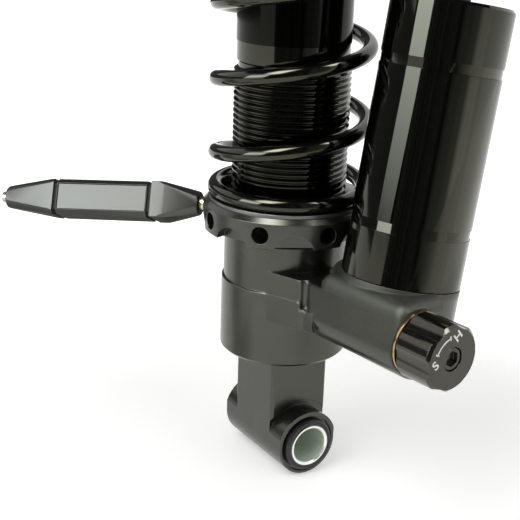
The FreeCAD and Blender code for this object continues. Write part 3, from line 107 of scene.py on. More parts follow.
class Finish:
    """A material under way: its node tree and its main shader."""

    def __init__(self, name):
        self.material = bpy.data.materials.new(name)
        self.material.use_nodes = True
        self.tree = self.material.node_tree
        self.shader = self.tree.nodes["Principled BSDF"]
        self.place = self.tree.nodes.new("ShaderNodeTexCoord").outputs["Object"]

    def add(self, kind, **sockets):
        """A node with its inputs given by name."""
        node = self.tree.nodes.new(kind)
        for name, value in sockets.items():
            self.feed(value, node.inputs[name.replace("_", " ")])
        return node

    def feed(self, value, socket):
        """An input takes a number, a colour or another node's output."""
        if isinstance(value, bpy.types.NodeSocket):
            self.tree.links.new(value, socket)
        else:
            socket.default_value = value

    def set(self, **sockets):
        """The main shader's inputs, given by name."""
        for name, value in sockets.items():
            self.feed(value, self.shader.inputs[name.replace("_", " ")])
        return self

    def maths(self, operation, first, second=0.0):
        node = self.tree.nodes.new("ShaderNodeMath")
        node.operation = operation
        for socket, value in zip(node.inputs, (first, second)):
            self.feed(value, socket)
        return node.outputs[0]

    def times(self, first, *others):
        for value in others:
            first = self.maths("MULTIPLY", first, value)
        return first

    def plus(self, first, *others):
        for value in others:
            first = self.maths("ADD", first, value)
        return first

    def reach(self, first, second):
        """Distance from the middle, from two coordinates that are square to each other."""
        return self.maths("SQRT", self.plus(self.maths("POWER", first, 2), self.maths("POWER", second, 2)))

    def coordinates(self):
        apart = self.tree.nodes.new("ShaderNodeSeparateXYZ")
        self.tree.links.new(self.place, apart.inputs[0])
        return apart.outputs

    def noise(self, scale, detail, place=None):
        node = self.add("ShaderNodeTexNoise", Scale=scale, Detail=detail)
        self.tree.links.new(place or self.place, node.inputs["Vector"])
        return node.outputs["Fac"]

    def spread(self, value, low, high, to_low=0.0, to_high=1.0):
        """The stretch from low to high, laid evenly on the one from to_low to to_high and held at its ends."""
        node = self.add("ShaderNodeMapRange")
        for socket, number in zip(node.inputs[:5], (value, low, high, to_low, to_high)):
            self.feed(number, socket)
        return node.outputs[0]

    def mix(self, share, first, second):
        node = self.tree.nodes.new("ShaderNodeMix")
        node.data_type = "RGBA"
        self.feed(share, node.inputs["Factor"])
        self.feed(first, node.inputs[MIX_FIRST])
        self.feed(second, node.inputs[MIX_SECOND])
        return node.outputs[MIX_RESULT]

    def along(self, axis, origin=(0, 0, 0)):
        """Distance along an axis from an origin, in metres."""
        away = self.tree.nodes.new("ShaderNodeVectorMath")
        away.operation = "SUBTRACT"
        self.tree.links.new(self.place, away.inputs[0])
        away.inputs[1].default_value = origin
        dot = self.tree.nodes.new("ShaderNodeVectorMath")
        dot.operation = "DOT_PRODUCT"
        self.tree.links.new(away.outputs[0], dot.inputs[0])
        dot.inputs[1].default_value = axis
        return dot.outputs["Value"]

    def stretched(self, scale):
        """Object coordinates times a scale for each axis."""
        node = self.tree.nodes.new("ShaderNodeMapping")
        self.tree.links.new(self.place, node.inputs["Vector"])
        node.inputs["Scale"].default_value = scale
        return node.outputs[0]

    def relief(self, height, depth, strength=1.0, edge=None, samples=6):
        """A bump, over softened edges where an edge radius is given."""
        bump = self.add("ShaderNodeBump", Strength=strength, Distance=depth)
        self.tree.links.new(height, bump.inputs["Height"])
        if edge is not None:
            soft = self.add("ShaderNodeBevel", Radius=edge)
            soft.samples = samples
            self.tree.links.new(soft.outputs[0], bump.inputs["Normal"])
        self.tree.links.new(bump.outputs[0], self.shader.inputs["Normal"])
        return self

    def worn_edges(self, radius):
        """1 along sharp edges and 0 on flats."""
        soft = self.add("ShaderNodeBevel", Radius=radius)
        soft.samples = 6
        plain = self.tree.nodes.new("ShaderNodeNewGeometry")
        dot = self.tree.nodes.new("ShaderNodeVectorMath")
        dot.operation = "DOT_PRODUCT"
        self.tree.links.new(soft.outputs[0], dot.inputs[0])
        self.tree.links.new(plain.outputs["Normal"], dot.inputs[1])
        return self.spread(dot.outputs["Value"], 0.995, 0.90)


def anodised_shade(name, shade, worn=0.35):
    """The colour of black anodised aluminium, paler on its edges."""
    finish = Finish(name)
    cloud = finish.noise(45, 4)
    tone = finish.mix(finish.spread(cloud, 0.3, 0.7), [c * 0.9 for c in shade] + [1], [*shade, 1])
    edge = finish.times(finish.worn_edges(0.2 * MM), worn)
    pale = [min(c * 2.2 + 0.02, 1) for c in shade] + [1]
    return finish.set(Base_Color=finish.mix(edge, tone, pale), Metallic=0.93)


def blasted(finish, rough):
    """A roughness that drifts a little over the surface."""
    return finish.spread(finish.noise(45, 4), 0.2, 0.8, rough - 0.03, rough + 0.05)


def toothed(finish, edge, samples=6):
    """The fine tooth of an anodised surface."""
    return finish.relief(finish.noise(5200, 2), 0.006 * MM, 0.5, edge, samples)


def anodised(name, shade, rough, worn=0.35):
    """Black anodised aluminium: it mirrors softly."""
    finish = anodised_shade(name, shade, worn)
    finish.set(Roughness=blasted(finish, rough))
    return toothed(finish, edge=0.25 * MM)


def body_anodising():
    """The body's black anodising. Its arm has wide soft roundings, and its head only narrow ones."""
    finish = anodised_shade("anodised_head", BODY_SHADE)
    out = finish.along(KNOB_AXIS)
    level = finish.along(UP)
    past_head = finish.spread(out, 25 * MM, 29 * MM)
    before_knob = finish.spread(out, 54 * MM, 46 * MM)
    on_arm = finish.times(past_head, finish.spread(level, 54 * MM, 58 * MM), before_knob)
    groove = finish.times(finish.spread(out, 24.5 * MM, 25.5 * MM), finish.spread(out, 30.5 * MM, 29.5 * MM))
    rounding = finish.plus(finish.spread(on_arm, 0, 1, 0.25 * MM, 3.0 * MM), finish.times(groove, MM))
    on_top = finish.times(past_head, finish.spread(level, 67 * MM, 70 * MM))
    finish.set(Roughness=finish.plus(blasted(finish, 0.25), finish.times(on_top, 0.3)))
    return toothed(finish, rounding, samples=8)


def lacquer(name, rough, shade=LACQUER_SHADE, ior=1.5):
    """The depth of thick black lacquer, with a little dust on it."""
    finish = Finish(name)
    dust = finish.spread(finish.noise(2600, 1), 0.76, 0.82)
    return finish.set(Base_Color=finish.mix(dust, (shade, shade, shade * 0.9, 1), (0.05, 0.05, 0.045, 1)),
                      Specular_Tint=(1, 1, 0.80, 1),
                      Roughness=finish.spread(finish.noise(30, 3), 0.3, 0.7, rough - 0.02, rough + 0.03),
                      IOR=ior)


def gloss_black(name, rough, shade=LACQUER_SHADE, ior=1.5):
    """Black lacquer with a faint orange peel."""
    finish = lacquer(name, rough, shade, ior)
    return finish.relief(finish.noise(420, 2), 0.010 * MM, 0.3)


def reservoir_lacquer():
    """Black lacquer. Its lower band leans up and its upper band down, so each mirrors its own height."""
    finish = lacquer("reservoir_lacquer", 0.05)
    height = finish.along(RESERVOIR_AXIS, RESERVOIR_FOOT)
    lower = finish.spread(height, 32.3 * MM, 35.5 * MM, 1, 0)
    upper = finish.spread(height, 83.6 * MM, 86.8 * MM, 0, 1)
    peel = finish.times(finish.noise(420, 2), 0.006)
    return finish.relief(finish.plus(lower, upper, peel), 0.45 * MM, 1.0)


def sleeve_steel_painted_rim():
    """Steel sleeve: a bright turned rim painted paler as a highlight, a duller bore, and dark steel outside
    them.
    """
    finish = Finish("sleeve_steel_painted_rim")
    parts = finish.coordinates()
    radius = finish.reach(parts[1], parts[2])
    bore = finish.spread(radius, 6.55 * MM, 6.7 * MM, 1, 0)
    outside = finish.spread(radius, 7.5 * MM, 7.75 * MM)
    # The rim's pale ring is partly the steel's own brightness and partly a painted highlight where its edge
    # catches the light.
    rim = finish.mix(outside, (0.90, 0.92, 0.88, 1), (0.12, 0.12, 0.11, 1))
    lines = finish.noise(1.0, 3, place=finish.stretched((3000, 300, 300)))
    finish.set(Base_Color=finish.mix(bore, rim, (0.62, 0.69, 0.59, 1)),
               Metallic=finish.spread(bore, 0, 1, 1.0, 0.1),
               Roughness=finish.spread(lines, 0.3, 0.7, 0.24, 0.36))
    return finish.relief(lines, 0.002 * MM, 0.3, edge=0.15 * MM)


def steel(name, colour=(0.62, 0.62, 0.60, 1), rough=0.28):
    """Turned steel or brass with fine tool lines."""
    finish = Finish(name)
    lines = finish.noise(1.0, 3, place=finish.stretched((900, 900, 60)))
    finish.set(Base_Color=finish.mix(lines, [c * 0.82 for c in colour[:3]] + [1], colour), Metallic=1.0,
               Roughness=finish.spread(lines, 0.3, 0.7, rough - 0.06, rough + 0.08))
    return finish.relief(lines, 0.004 * MM, 0.3, edge=0.2 * MM)


def rubber(name, shade, rough):
    """Rubber or plastic with a fine grain."""
    finish = Finish(name)
    cloud = finish.noise(160, 4)
    finish.set(Base_Color=finish.mix(cloud, (shade * 0.8,) * 3 + (1,), (shade * 1.3,) * 3 + (1,)),
               Roughness=finish.spread(cloud, 0.3, 0.7, rough - 0.06, rough + 0.1))
    return finish.relief(finish.noise(2400, 3), 0.02 * MM, 0.5)


def give(finish, *names):
    """Pieces of the frame take a finish."""
    for name in names:
        slots = nodes[name].data.materials
        slots.clear()
        slots.append(finish.material)


def dress_frame():
    give(body_anodising(), "lower_body")
    give(anodised("anodised_collar", (0.092, 0.094, 0.084), 0.22), "preload_collar")
    give(anodised("anodised_seat", BODY_SHADE, 0.25), "upper_seat", "tube_cap", "rod_guide", "reservoir_cap",
         "floating_piston", "adjuster_cartridge")
    give(gloss_black("tube_lacquer", 0.08), "damper_tube")
    give(gloss_black("tube_film", 0.06, shade=0.001, ior=1.22), "tube_wrap")
    give(reservoir_lacquer(), "reservoir_tube")
    give(anodised("washer_grey", (0.20, 0.20, 0.19), 0.3), "seat_washer")
    give(anodised("knob_dark", (0.08, 0.078, 0.068), 0.1), "adjuster_knob")
    # The near-black polymer also stands in for the shade in the deep gap round the eye's sleeve: partly its own
    # colour, partly painted shade.
    give(rubber("bush_polymer_and_gap_shade", 0.007, 0.35), "eye_bushes", "guide_bush", "piston_band",
         "floating_piston_seal")
    give(sleeve_steel_painted_rim(), "eye_sleeve")
    give(steel("bright_steel"), "reservoir_circlip", "stud_nut", "upper_cup", "lower_cup", "piston_nut",
         "upper_shims", "lower_shims", "rebound_plate", "turning_rod_plug")
    give(anodised("screw_black", (0.075, 0.075, 0.067), 0.2), "knob_screw")
    give(steel("pale_brass", (0.75, 0.68, 0.48, 1)), "turning_rod_pin")
    give(steel("rod_chrome", (0.8, 0.8, 0.8, 1), 0.08), "piston_rod")
    give(steel("brass", (0.50, 0.38, 0.20, 1), 0.2), "adjuster_ring", "adjuster_needle", "gas_valve")
    give(rubber("black_rubber", 0.008, 0.5), "tube_seal", "rod_seal", "rod_wiper", "reservoir_cap_seal",
         "reservoir_foot_seal", "adjuster_gasket", "needle_seal", "rebound_bumper", "bump_stop",
         "lower_rubber", "upper_rubber", "valve_cap")
    give(steel("sintered_alloy", (0.5, 0.5, 0.5, 1), 0.4), "piston")


dress_frame()


# Pieces made here

def placed(name, bm):
    """An object in the scene, made from a mesh that is under way."""
    mesh = bpy.data.meshes.new(name)
    bm.to_mesh(mesh)
    bm.free()
    piece = bpy.data.objects.new(name, mesh)
    bpy.context.scene.collection.objects.link(piece)
    return piece


def finished(name, bm, body, finishes, smooth_below=30):
    """A mesh that is ready: doubles merged, faces outwards, and smooth where it is round."""
    bmesh.ops.remove_doubles(bm, verts=bm.verts, dist=0.001 * MM)
    bmesh.ops.recalc_face_normals(bm, faces=bm.faces)
    piece = placed(name, bm)
    mesh = piece.data
    mesh.polygons.foreach_set("use_smooth", [True] * len(mesh.polygons))
    mesh.set_sharp_from_angle(angle=math.radians(smooth_below))
    for finish in finishes:
        mesh.materials.append(finish.material)
    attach(piece, body)
    return piece


def cut_away(bm, point, outward):
    """Everything past a plane goes, and the cut is closed."""
    cut = bmesh.ops.bisect_plane(bm, geom=bm.verts[:] + bm.edges[:] + bm.faces[:], dist=0.00001 * MM,
                                 plane_co=point, plane_no=outward, clear_outer=True)
    rim = [item for item in cut["geom_cut"] if isinstance(item, bmesh.types.BMEdge)]
    if rim:
        bmesh.ops.contextual_create(bm, geom=rim)


def turned_stock(outline):
    """A closed round body about Z from (radius, height) points in millimetres."""
    bm = bmesh.new()
    points = [bm.verts.new((radius * MM, 0, height * MM)) for radius, height in outline]
    edges = [bm.edges.new(pair) for pair in zip(points, points[1:])]
    bmesh.ops.spin(bm, geom=points + edges, cent=(0, 0, 0), axis=(0, 0, 1), angle=math.tau, steps=64,
                   use_merge=True)
    bmesh.ops.remove_doubles(bm, verts=bm.verts, dist=0.001 * MM)
    bmesh.ops.recalc_face_normals(bm, faces=bm.faces)
    return bm


# The ways out from the turning rod's axis, through its four flats and its four corners
FACES = [Vector((math.cos(angle), math.sin(angle), 0)) for angle in (0, math.pi / 2, math.pi, -math.pi / 2)]
CORNERS = [(a + b).normalized() for a, b in zip(FACES, FACES[1:] + FACES[:1])]


def handle_end(round_outline, flats_start, flats_end, half, end_half):
    """A tapered end: a turned cone with four sloping flats, each with a leaf-shaped edge."""
    bm = turned_stock(round_outline)
    run = Vector((0, 0, (flats_end - flats_start) * MM))
    for face in FACES:
        cut_away(bm, face * half * MM, face)
        slope = run + face * (end_half - half) * MM
        outward = face - slope * (face.dot(slope) / slope.dot(slope))
        cut_away(bm, face * half * MM + Vector((0, 0, flats_start * MM)), outward)
    return bm


def handle_bar(low, high, half, corner):
    """A straight stretch of the square bar with its corners taken off."""
    stock_radius = 12
    bm = turned_stock([(0, low), (stock_radius, low), (stock_radius, high), (0, high)])
    for face in FACES:
        cut_away(bm, face * half * MM, face)
    for diagonal in CORNERS:
        cut_away(bm, diagonal * corner * MM, diagonal)
    return bm


def sink_panel(bm, half, depth, margin):
    """A shallow panel in the bar's +Y face, its walls painted near-black as shade."""
    outward = FACES[1]
    flats = [side for side in bm.faces if side.normal.dot(outward) > 0.99]
    face = max(flats, key=lambda side: side.calc_center_median().dot(outward))
    bmesh.ops.inset_region(bm, faces=[face], thickness=margin * MM, depth=0)
    walls = bmesh.ops.inset_region(bm, faces=[face], thickness=0.35 * MM, depth=-depth * MM)
    # The panel's walls take the near-black second finish, a painted shade.
    for wall in walls["faces"]:
        wall.material_index = 1


def coil_height(turn, turns, wire, pitch):
    """The wire's centre over its lowest point, in millimetres. Each end turn lies flat for its most part."""
    closed_gap, flat_until, steady_from = 0.6, 0.6, 1.15
    first_turn = wire + closed_gap
    if turn > turns / 2:
        # The top end turn is lower by the collar's whole lift, which a real spring would take up.
        lift = joint("preload_lift")["range_m"][1] / MM * min(2.5 * turn / turns - 1.25, 1)
        whole = pitch * (turns - 2) + 2 * first_turn - lift
        return whole - coil_height(turns - turn, turns, wire, pitch)
    if turn <= flat_until:
        return 0.0
    if turn >= steady_from:
        return first_turn + pitch * (turn - 1)
    span = steady_from - flat_until
    share = (turn - flat_until) / span
    end = first_turn + pitch * (steady_from - 1)
    return end * (3 * share ** 2 - 2 * share ** 3) + pitch * span * (share ** 3 - share ** 2)


def make_spring():
    """The wound wire, with flat end turns."""
    radius, wire, pitch, turns, start = 25.66, 5.3, 25.2, 6, 151.7
    floor = 89.4
    steps = 96 * turns
    sides = 28
    centres = []
    for step in range(steps + 1):
        turn = turns * step / steps
        angle = math.radians(start) + math.tau * turn
        level = floor + wire / 2 + coil_height(turn, turns, wire, pitch)
        centres.append(Vector((radius * math.cos(angle), radius * math.sin(angle), level)))
    bm = bmesh.new()
    rings = []
    for step, centre in enumerate(centres):
        along = (centres[min(step + 1, steps)] - centres[max(step - 1, 0)]).normalized()
        outward = Vector((centre.x, centre.y, 0)).normalized()
        across = along.cross(outward).normalized()
        outward = across.cross(along)
        ring = []
        for k in range(sides):
            turn = math.tau * k / sides
            offset = (outward * math.cos(turn) + across * math.sin(turn)) * wire / 2
            ring.append(bm.verts.new((centre + offset) * MM))
        rings.append(ring)
    for first, second in zip(rings, rings[1:]):
        for k in range(sides):
            after = (k + 1) % sides
            bm.faces.new((first[k], first[after], second[after], second[k]))
    bm.faces.new(rings[0][::-1])
    bm.faces.new(rings[-1])
    spring = finished("coil_spring", bm, "spring_seat",
                      [gloss_black("spring_lacquer", 0.08, ior=1.55)], smooth_below=50)
    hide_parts("main_spring")
    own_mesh(spring)


def in_order(bm):
    """The same mesh with its points and faces sorted by place, so that each run gives the same one."""
    points = sorted(bm.verts, key=lambda point: tuple(point.co))
    rank = {point: i for i, point in enumerate(points)}
    outlines = []
    for face in bm.faces:
        ring = [rank[point] for point in face.verts]
        first = ring.index(max(ring))
        outlines.append((ring[first:] + ring[:first], face.material_index))
    ordered = bmesh.new()
    corners = [ordered.verts.new(point.co) for point in points]
    for ring, material in sorted(outlines):
        ordered.faces.new([corners[i] for i in ring]).material_index = material
    bm.free()
    return ordered


def make_handle():
    """The turning rod's handle: a bar between two tapered ends, with a groove and an overlap at each join. The
    grooves and the panel's walls are painted near-black as shade.
    """
    half = 6.6
    near_tip, near_end = 3.1, 20.15
    near_groove, far_groove, groove_width = 20.1, 56.9, 1.6
    bar_start, bar_end = 21.65, 56.95
    far_end, far_tip = 58.45, 78.9
    middle = handle_bar(bar_start, bar_end, half, 8.15)
    sink_panel(middle, half, depth=0.35, margin=0.15)
    grooves = [handle_bar(low, low + groove_width, half - 0.8, 7.4) for low in (near_groove, far_groove)]
    # The grooves take the near-black second finish, a painted shade.
    for groove in grooves:
        for side in groove.faces:
            side.material_index = 1
    near_outline = [(0, near_tip), (4.1, near_tip), (4.4, 3.4), (9.2, 17.5), (9.2, near_end), (0, near_end)]
    far_outline = [(0, far_end), (8.5, far_end), (4.3, 78.5), (4.0, far_tip), (0, far_tip)]
    parts = [
        handle_end(near_outline, 15.8, near_tip, half, 4.15),
        grooves[0],
        middle,
        grooves[1],
        handle_end(far_outline, 60, far_tip, half, 3.95),
    ]
    whole = bmesh.new()
    for part in parts:
        mesh = bpy.data.meshes.new("handle_part")
        part.to_mesh(mesh)
        part.free()
        whole.from_mesh(mesh)
        bpy.data.meshes.remove(mesh)
    bmesh.ops.recalc_face_normals(whole, faces=whole.faces)
    whole = in_order(whole)
    bmesh.ops.transform(whole, matrix=handle_place(), verts=whole.verts)
    black = anodised("handle_black", (0.10, 0.10, 0.093), 0.34, worn=0.1)
    black.set(Specular_Tint=(0.2, 0.2, 0.2, 1))
    # The second finish is near-black paint that stands in for the shade in the grooves and the panel's walls.
    finishes = [black, rubber("groove_painted_shade", 0.003, 0.7)]
    handle = finished("handle", whole, "turning_rod", finishes, smooth_below=22)
    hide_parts("turning_rod_handle")


def knob_point(angle, radius, lift=0.0):
    """A point on the knob's face. The angle starts at the arm's far side and rises to the top."""
    side = UP.cross(KNOB_AXIS)
    turn = math.radians(angle)
    return KNOB_FACE + (side * math.cos(turn) + UP * math.sin(turn)) * radius * MM + KNOB_AXIS * lift * MM


def make_knob_marks():
    """The letters for soft and hard on the knob's face, and an arc between them with a tick at each end."""
    paint = Finish("white_paint")
    paint.set(Base_Color=paint.mix(paint.noise(900, 2), (0.78, 0.78, 0.76, 1), (0.9, 0.9, 0.88, 1)),
              Roughness=paint.spread(paint.noise(400, 2), 0.3, 0.7, 0.4, 0.55))
    paint.relief(paint.noise(1500, 2), 0.01 * MM, 0.3)
    side = UP.cross(KNOB_AXIS)
    turn = math.radians(40.5)
    across = side * math.cos(turn) + UP * math.sin(turn)
    upward = UP * math.cos(turn) - side * math.sin(turn)
    axes = Matrix((across, upward, KNOB_AXIS)).transposed().to_4x4()
    bm = bmesh.new()
    for name, angle, radius in (("S", -177, 7.2), ("H", 78, 7.3)):
        text = bpy.data.curves.new(name, "FONT")
        text.body = name
        text.size = 4.3 * MM
        text.extrude = 0.02 * MM
        text.offset = 0.09 * MM
        text.align_x = "CENTER"
        text.align_y = "CENTER"
        letter = bpy.data.objects.new(name, text)
        mesh = bpy.data.meshes.new_from_object(letter)
        mesh.transform(Matrix.Translation(knob_point(angle, radius, 0.02)) @ axes)
        bm.from_mesh(mesh)
        bpy.data.meshes.remove(mesh)
        bpy.data.objects.remove(letter)
        bpy.data.curves.remove(text)
    arc, ticks = [(157, 103, 7.0, 7.55)], [(159, 155, 6.6, 8.1), (105, 101, 6.6, 8.1)]
    for start, end, inner, outer in arc + ticks:
        corners = [bm.verts.new(knob_point(start, radius, 0.04)) for radius in (inner, outer)]
        edge = bm.edges.new(corners)
        bmesh.ops.spin(bm, geom=corners + [edge], cent=KNOB_FACE, axis=KNOB_AXIS,
                       angle=math.radians(end - start), steps=12)
    finished("knob_marks", bm, "knob", [paint])


make_spring()
make_handle()
make_knob_marks()


# Camera, where the photograph was taken from

def make_camera():
    """The photograph's camera, as solved from it."""
    place = Vector((317.04, -212.34, 195.83)) * MM
    yaw = math.radians(57.55)
    pitch = math.radians(19.02)
    roll = math.radians(1.86)
    focal_pixels = 1128.31
    image_pixels = 520
    back = Vector((math.sin(yaw) * math.cos(pitch), -math.cos(yaw) * math.cos(pitch), math.sin(pitch)))
    right = Vector((math.cos(yaw), math.sin(yaw), 0))
    up = back.cross(right)
    turned_right = right * math.cos(roll) + up * math.sin(roll)
    turned_up = up * math.cos(roll) - right * math.sin(roll)
    data = bpy.data.cameras.new("camera")
    data.sensor_width = 36
    data.lens = focal_pixels / image_pixels * data.sensor_width
    data.clip_start = 0.01
    camera = bpy.data.objects.new("camera", data)
    bpy.context.scene.collection.objects.link(camera)
    axes = Matrix((turned_right, turned_up, back)).transposed().to_4x4()
    camera.matrix_world = Matrix.Translation(place) @ axes
    bpy.context.scene.camera = camera


# Studio: a white surround, a pale floor, dark cards in front and above, bright boxes for the mirrors, and lamps

OBJECT_MIDDLE = Vector((0.02, 0, 0.1))
CAMERA_SIDE = -32.5


def sight_rays(tree):
    """1 for what the camera sees directly, in a mirror or through glass."""
    path = tree.nodes.new("ShaderNodeLightPath")
    share = path.outputs["Is Camera Ray"]
    for name in ("Is Glossy Ray", "Is Transmission Ray"):
        either = tree.nodes.new("ShaderNodeMath")
        either.operation = "MAXIMUM"
        tree.links.new(share, either.inputs[0])
        tree.links.new(path.outputs[name], either.inputs[1])
        share = either.outputs[0]
    return share


def make_surround():
    """White where it is looked at, and dimmer as a light."""
    world = bpy.data.worlds.new("surround")
    bpy.context.scene.world = world
    world.use_nodes = True
    tree = world.node_tree
    tree.nodes.clear()
    white = tree.nodes.new("ShaderNodeBackground")
    dim = tree.nodes.new("ShaderNodeBackground")
    dim.inputs["Strength"].default_value = 0.4
    for light in (white, dim):
        light.inputs["Color"].default_value = (1, 1, 1, 1)
    choose = tree.nodes.new("ShaderNodeMixShader")
    out = tree.nodes.new("ShaderNodeOutputWorld")
    tree.links.new(sight_rays(tree), choose.inputs[0])
    tree.links.new(dim.outputs[0], choose.inputs[1])
    tree.links.new(white.outputs[0], choose.inputs[2])
    tree.links.new(choose.outputs[0], out.inputs["Surface"])


def make_floor():
    """The pale floor. It keeps the shadows, and looks nearly white from farther out."""
    bm = bmesh.new()
    bmesh.ops.create_grid(bm, x_segments=1, y_segments=1, size=6)
    floor = placed("floor", bm)
    floor.location.z = cad_box[0].z - 0.2 * MM
    paper = Finish("paper")
    paper.set(Base_Color=(0.93, 0.925, 0.915, 1), Roughness=0.95)
    paper.relief(paper.noise(900, 2), 0.02 * MM, 0.2)
    parts = paper.coordinates()
    farther = paper.spread(paper.reach(parts[0], parts[1]), 0.12, 0.30, 0.37, 0.8)
    lit = paper.times(sight_rays(paper.tree), farther)
    paper.set(Emission_Color=(1, 1, 1, 1), Emission_Strength=lit)
    floor.data.materials.append(paper.material)


def mirror_only(name, bm, place, strength_of, tint=WARM_WHITE):
    """A card that only shiny surfaces see. The function gives its brightness from its finish."""
    card = placed(name, bm)
    card.matrix_world = place
    card.visible_camera = False
    card.visible_diffuse = False
    card.visible_shadow = False
    cloth = Finish(name + "_cloth")
    cloth.set(Base_Color=(0, 0, 0, 1), Roughness=1.0, Specular_IOR_Level=0.0, Emission_Color=(*tint, 1),
              Emission_Strength=strength_of(cloth))
    card.data.materials.append(cloth.material)


def make_card(name, start, end, low, high, distance, strength_of, lying=False):
    """A card curved round the object. Its angles are from the camera's side.

    A lying card is a flat ring instead: low is its height, and it reaches from distance out to high.
    """
    bm = bmesh.new()
    second = (high, 0, low) if lying else (distance, 0, high)
    ends = [bm.verts.new((distance, 0, low)), bm.verts.new(second)]
    edge = bm.edges.new(ends)
    bmesh.ops.rotate(bm, verts=bm.verts, cent=(0, 0, 0), matrix=turned(start, "Z"))
    bmesh.ops.spin(bm, geom=ends + [edge], cent=(0, 0, 0), axis=(0, 0, 1),
                   angle=math.radians(end - start), steps=36)
    place = Matrix.Translation((OBJECT_MIDDLE.x, OBJECT_MIDDLE.y, 0)) @ turned(CAMERA_SIDE, "Z")
    mirror_only(name, bm, place, strength_of)


def side_seen(finish, parts):
    """The side seen from the object, in radians, on a card that is curved round it."""
    return finish.maths("ARCTAN2", parts[1], parts[0])


def between(finish, side, *stops):
    """A brightness laid round the object: pairs of an angle in degrees and a brightness, joined evenly."""
    total = stops[0][1]
    for (start, before), (end, after) in zip(stops, stops[1:]):
        step = finish.spread(side, math.radians(start), math.radians(end), 0, after - before)
        total = finish.plus(total, step)
    return total


def room_in_front(finish):
    """Dark before the object, with faint upright streaks, and paler to its right and near the floor there."""
    parts = finish.coordinates()
    streaks = finish.noise(1.0, 3, place=finish.stretched((9, 9, 0.2)))
    dark = finish.spread(streaks, 0.35, 0.75, 0.02, 0.16)
    low = finish.spread(parts[2], 0.30, 0.0, 0.75, 1.7)
    ramp = between(finish, side_seen(finish, parts), (14, 0), (24, 0.12), (43, 0.24), (52, 0.95))
    return finish.plus(dark, finish.times(low, ramp))


def paper_seen(finish):
    """The floor as the mirrors see it: white before the object, dimmer at its sides, with a painted shadow
    under the turning rod, and dark farther in front.
    """
    parts = finish.coordinates()
    side = side_seen(finish, parts)
    reach = finish.reach(parts[0], parts[1])
    white = between(finish, side, (-150, 1.2), (0, 1.25), (40, 0.8), (80, 1.1))
    right = finish.times(finish.spread(reach, 0.26, 0.33), between(finish, side, (20, 0), (45, 0.5)))
    strip = finish.times(finish.spread(reach, 0.165, 0.18),
                         between(finish, side, (-112, 0), (-104, 0.58), (-91, 0.58), (-84, 0)))
    # Painted shadow: the floor under the turning rod is dimmed as the rod's shadow would dim it.
    rod_painted_shadow = finish.times(finish.spread(reach, 0.18, 0.165),
                             between(finish, side, (-106, 0), (-98, 0.6), (-70, 0.6), (-62, 0)))
    dimmed = finish.maths("SUBTRACT", 1, finish.plus(rod_painted_shadow, strip))
    near = finish.times(white, finish.plus(right, 1), dimmed)
    front = between(finish, side, (-70, 0), (-45, 1), (20, 1), (50, 0))
    far = finish.times(finish.spread(reach, 0.36, 0.52), front)
    return finish.times(near, finish.spread(far, 0, 1, 1, 0.07))


def make_cards():
    """The room that the mirrors see: dark in front and above, dim at the left and behind, and pale below."""
    floor_level = cad_box[0].z
    make_card("front_card", start=-41, end=66, low=floor_level - 0.01, high=1.2, distance=0.8,
              strength_of=room_in_front)
    make_card("left_card", start=-152, end=-73, low=0.055, high=0.30, distance=0.8,
              strength_of=lambda finish: 0.12)
    make_card("back_card", start=-180, end=-142, low=0.055, high=1.3, distance=0.81,
              strength_of=lambda finish: 0.1)
    make_card("floor_card", start=-165, end=120, low=floor_level + 0.3 * MM, high=0.79, distance=0.11,
              strength_of=paper_seen, lying=True)
    bm = bmesh.new()
    bmesh.ops.create_circle(bm, cap_ends=True, segments=48, radius=1.2)
    mirror_only("ceiling_card", bm, Matrix.Translation((OBJECT_MIDDLE.x, OBJECT_MIDDLE.y, 1.3)),
                strength_of=lambda finish: 0.06)


def direction(azimuth, height):
    """The way from the object's middle, in degrees from the camera's side and above the level."""
    turn = math.radians(CAMERA_SIDE + azimuth)
    lift = math.radians(height)
    return Vector((math.cos(turn) * math.cos(lift), math.sin(turn) * math.cos(lift), math.sin(lift)))


def facing(place):
    """Turned to face the object."""
    towards = (OBJECT_MIDDLE - place).to_track_quat("-Z", "Y")
    return Matrix.Translation(place) @ towards.to_matrix().to_4x4()


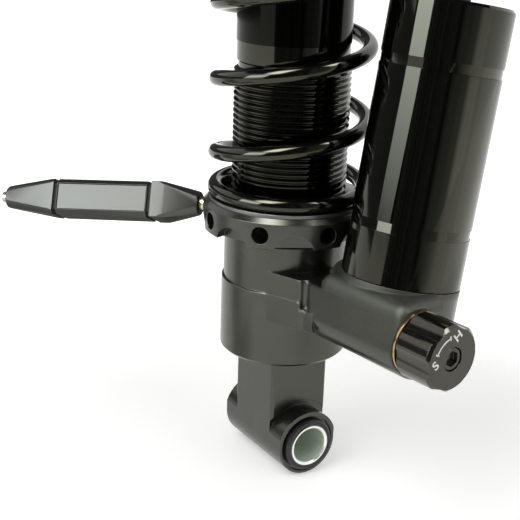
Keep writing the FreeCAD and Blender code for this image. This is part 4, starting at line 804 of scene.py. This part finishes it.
def make_box(name, azimuth, height, width, tall, strength, fades, foot_shift=0.0, tint=WARM_WHITE):
    """A bright box for the mirrors, with soft edges. Its angles are seen from the object, in degrees."""
    distance = 0.9
    half_wide = distance * math.tan(math.radians(width / 2))
    half_tall = distance * math.tan(math.radians(tall / 2))
    shift = distance * math.tan(math.radians(foot_shift))
    side_fade, end_fade = fades

    def glow(finish):
        parts = finish.coordinates()
        drift = finish.spread(parts[1], -half_tall, -half_tall * 0.5, shift, 0)
        sideways = finish.maths("ABSOLUTE", finish.maths("SUBTRACT", parts[0], drift))
        across = finish.spread(sideways, half_wide, half_wide * (1 - side_fade))
        upright = finish.maths("ABSOLUTE", parts[1])
        along = finish.spread(upright, half_tall, half_tall * (1 - end_fade), 0.12, 1)
        return finish.times(across, along, strength)

    bm = bmesh.new()
    bmesh.ops.create_grid(bm, x_segments=1, y_segments=1, size=1)
    bmesh.ops.scale(bm, verts=bm.verts, vec=(half_wide + abs(shift), half_tall, 1))
    mirror_only(name, bm, facing(OBJECT_MIDDLE + direction(azimuth, height) * distance), glow, tint)


def make_lamp(name, azimuth, height, share):
    """A soft lamp for the plain light. Its share is of the light at which a colour looks as written."""
    distance = 1.0
    light = bpy.data.lights.new(name, "AREA")
    light.shape = "SQUARE"
    light.size = 0.7
    light.energy = share * math.pi * math.pi * distance ** 2
    lamp = bpy.data.objects.new(name, light)
    bpy.context.scene.collection.objects.link(lamp)
    lamp.matrix_world = facing(OBJECT_MIDDLE + direction(azimuth, height) * distance)
    lamp.visible_glossy = False


def make_lights():
    """The bright boxes that the photograph's reflections show, and two lamps for the plain light."""
    make_box("left_box", azimuth=-57, height=20, width=30, tall=40, strength=9.0, fades=(0.04, 0.85),
             foot_shift=-4, tint=(0.94, 1, 1.03))
    make_box("left_top_box", azimuth=-41, height=54, width=30, tall=46, strength=14.0, fades=(0.6, 0.6))
    make_box("right_top_box", azimuth=62, height=52, width=22, tall=26, strength=13.0, fades=(0.6, 0.6))
    make_lamp("key_lamp", azimuth=-50, height=50, share=0.45)
    make_lamp("fill_lamp", azimuth=60, height=45, share=0.25)


make_camera()
make_surround()
make_floor()
make_cards()
make_lights()
bpy.context.scene.view_settings.view_transform = "Standard"
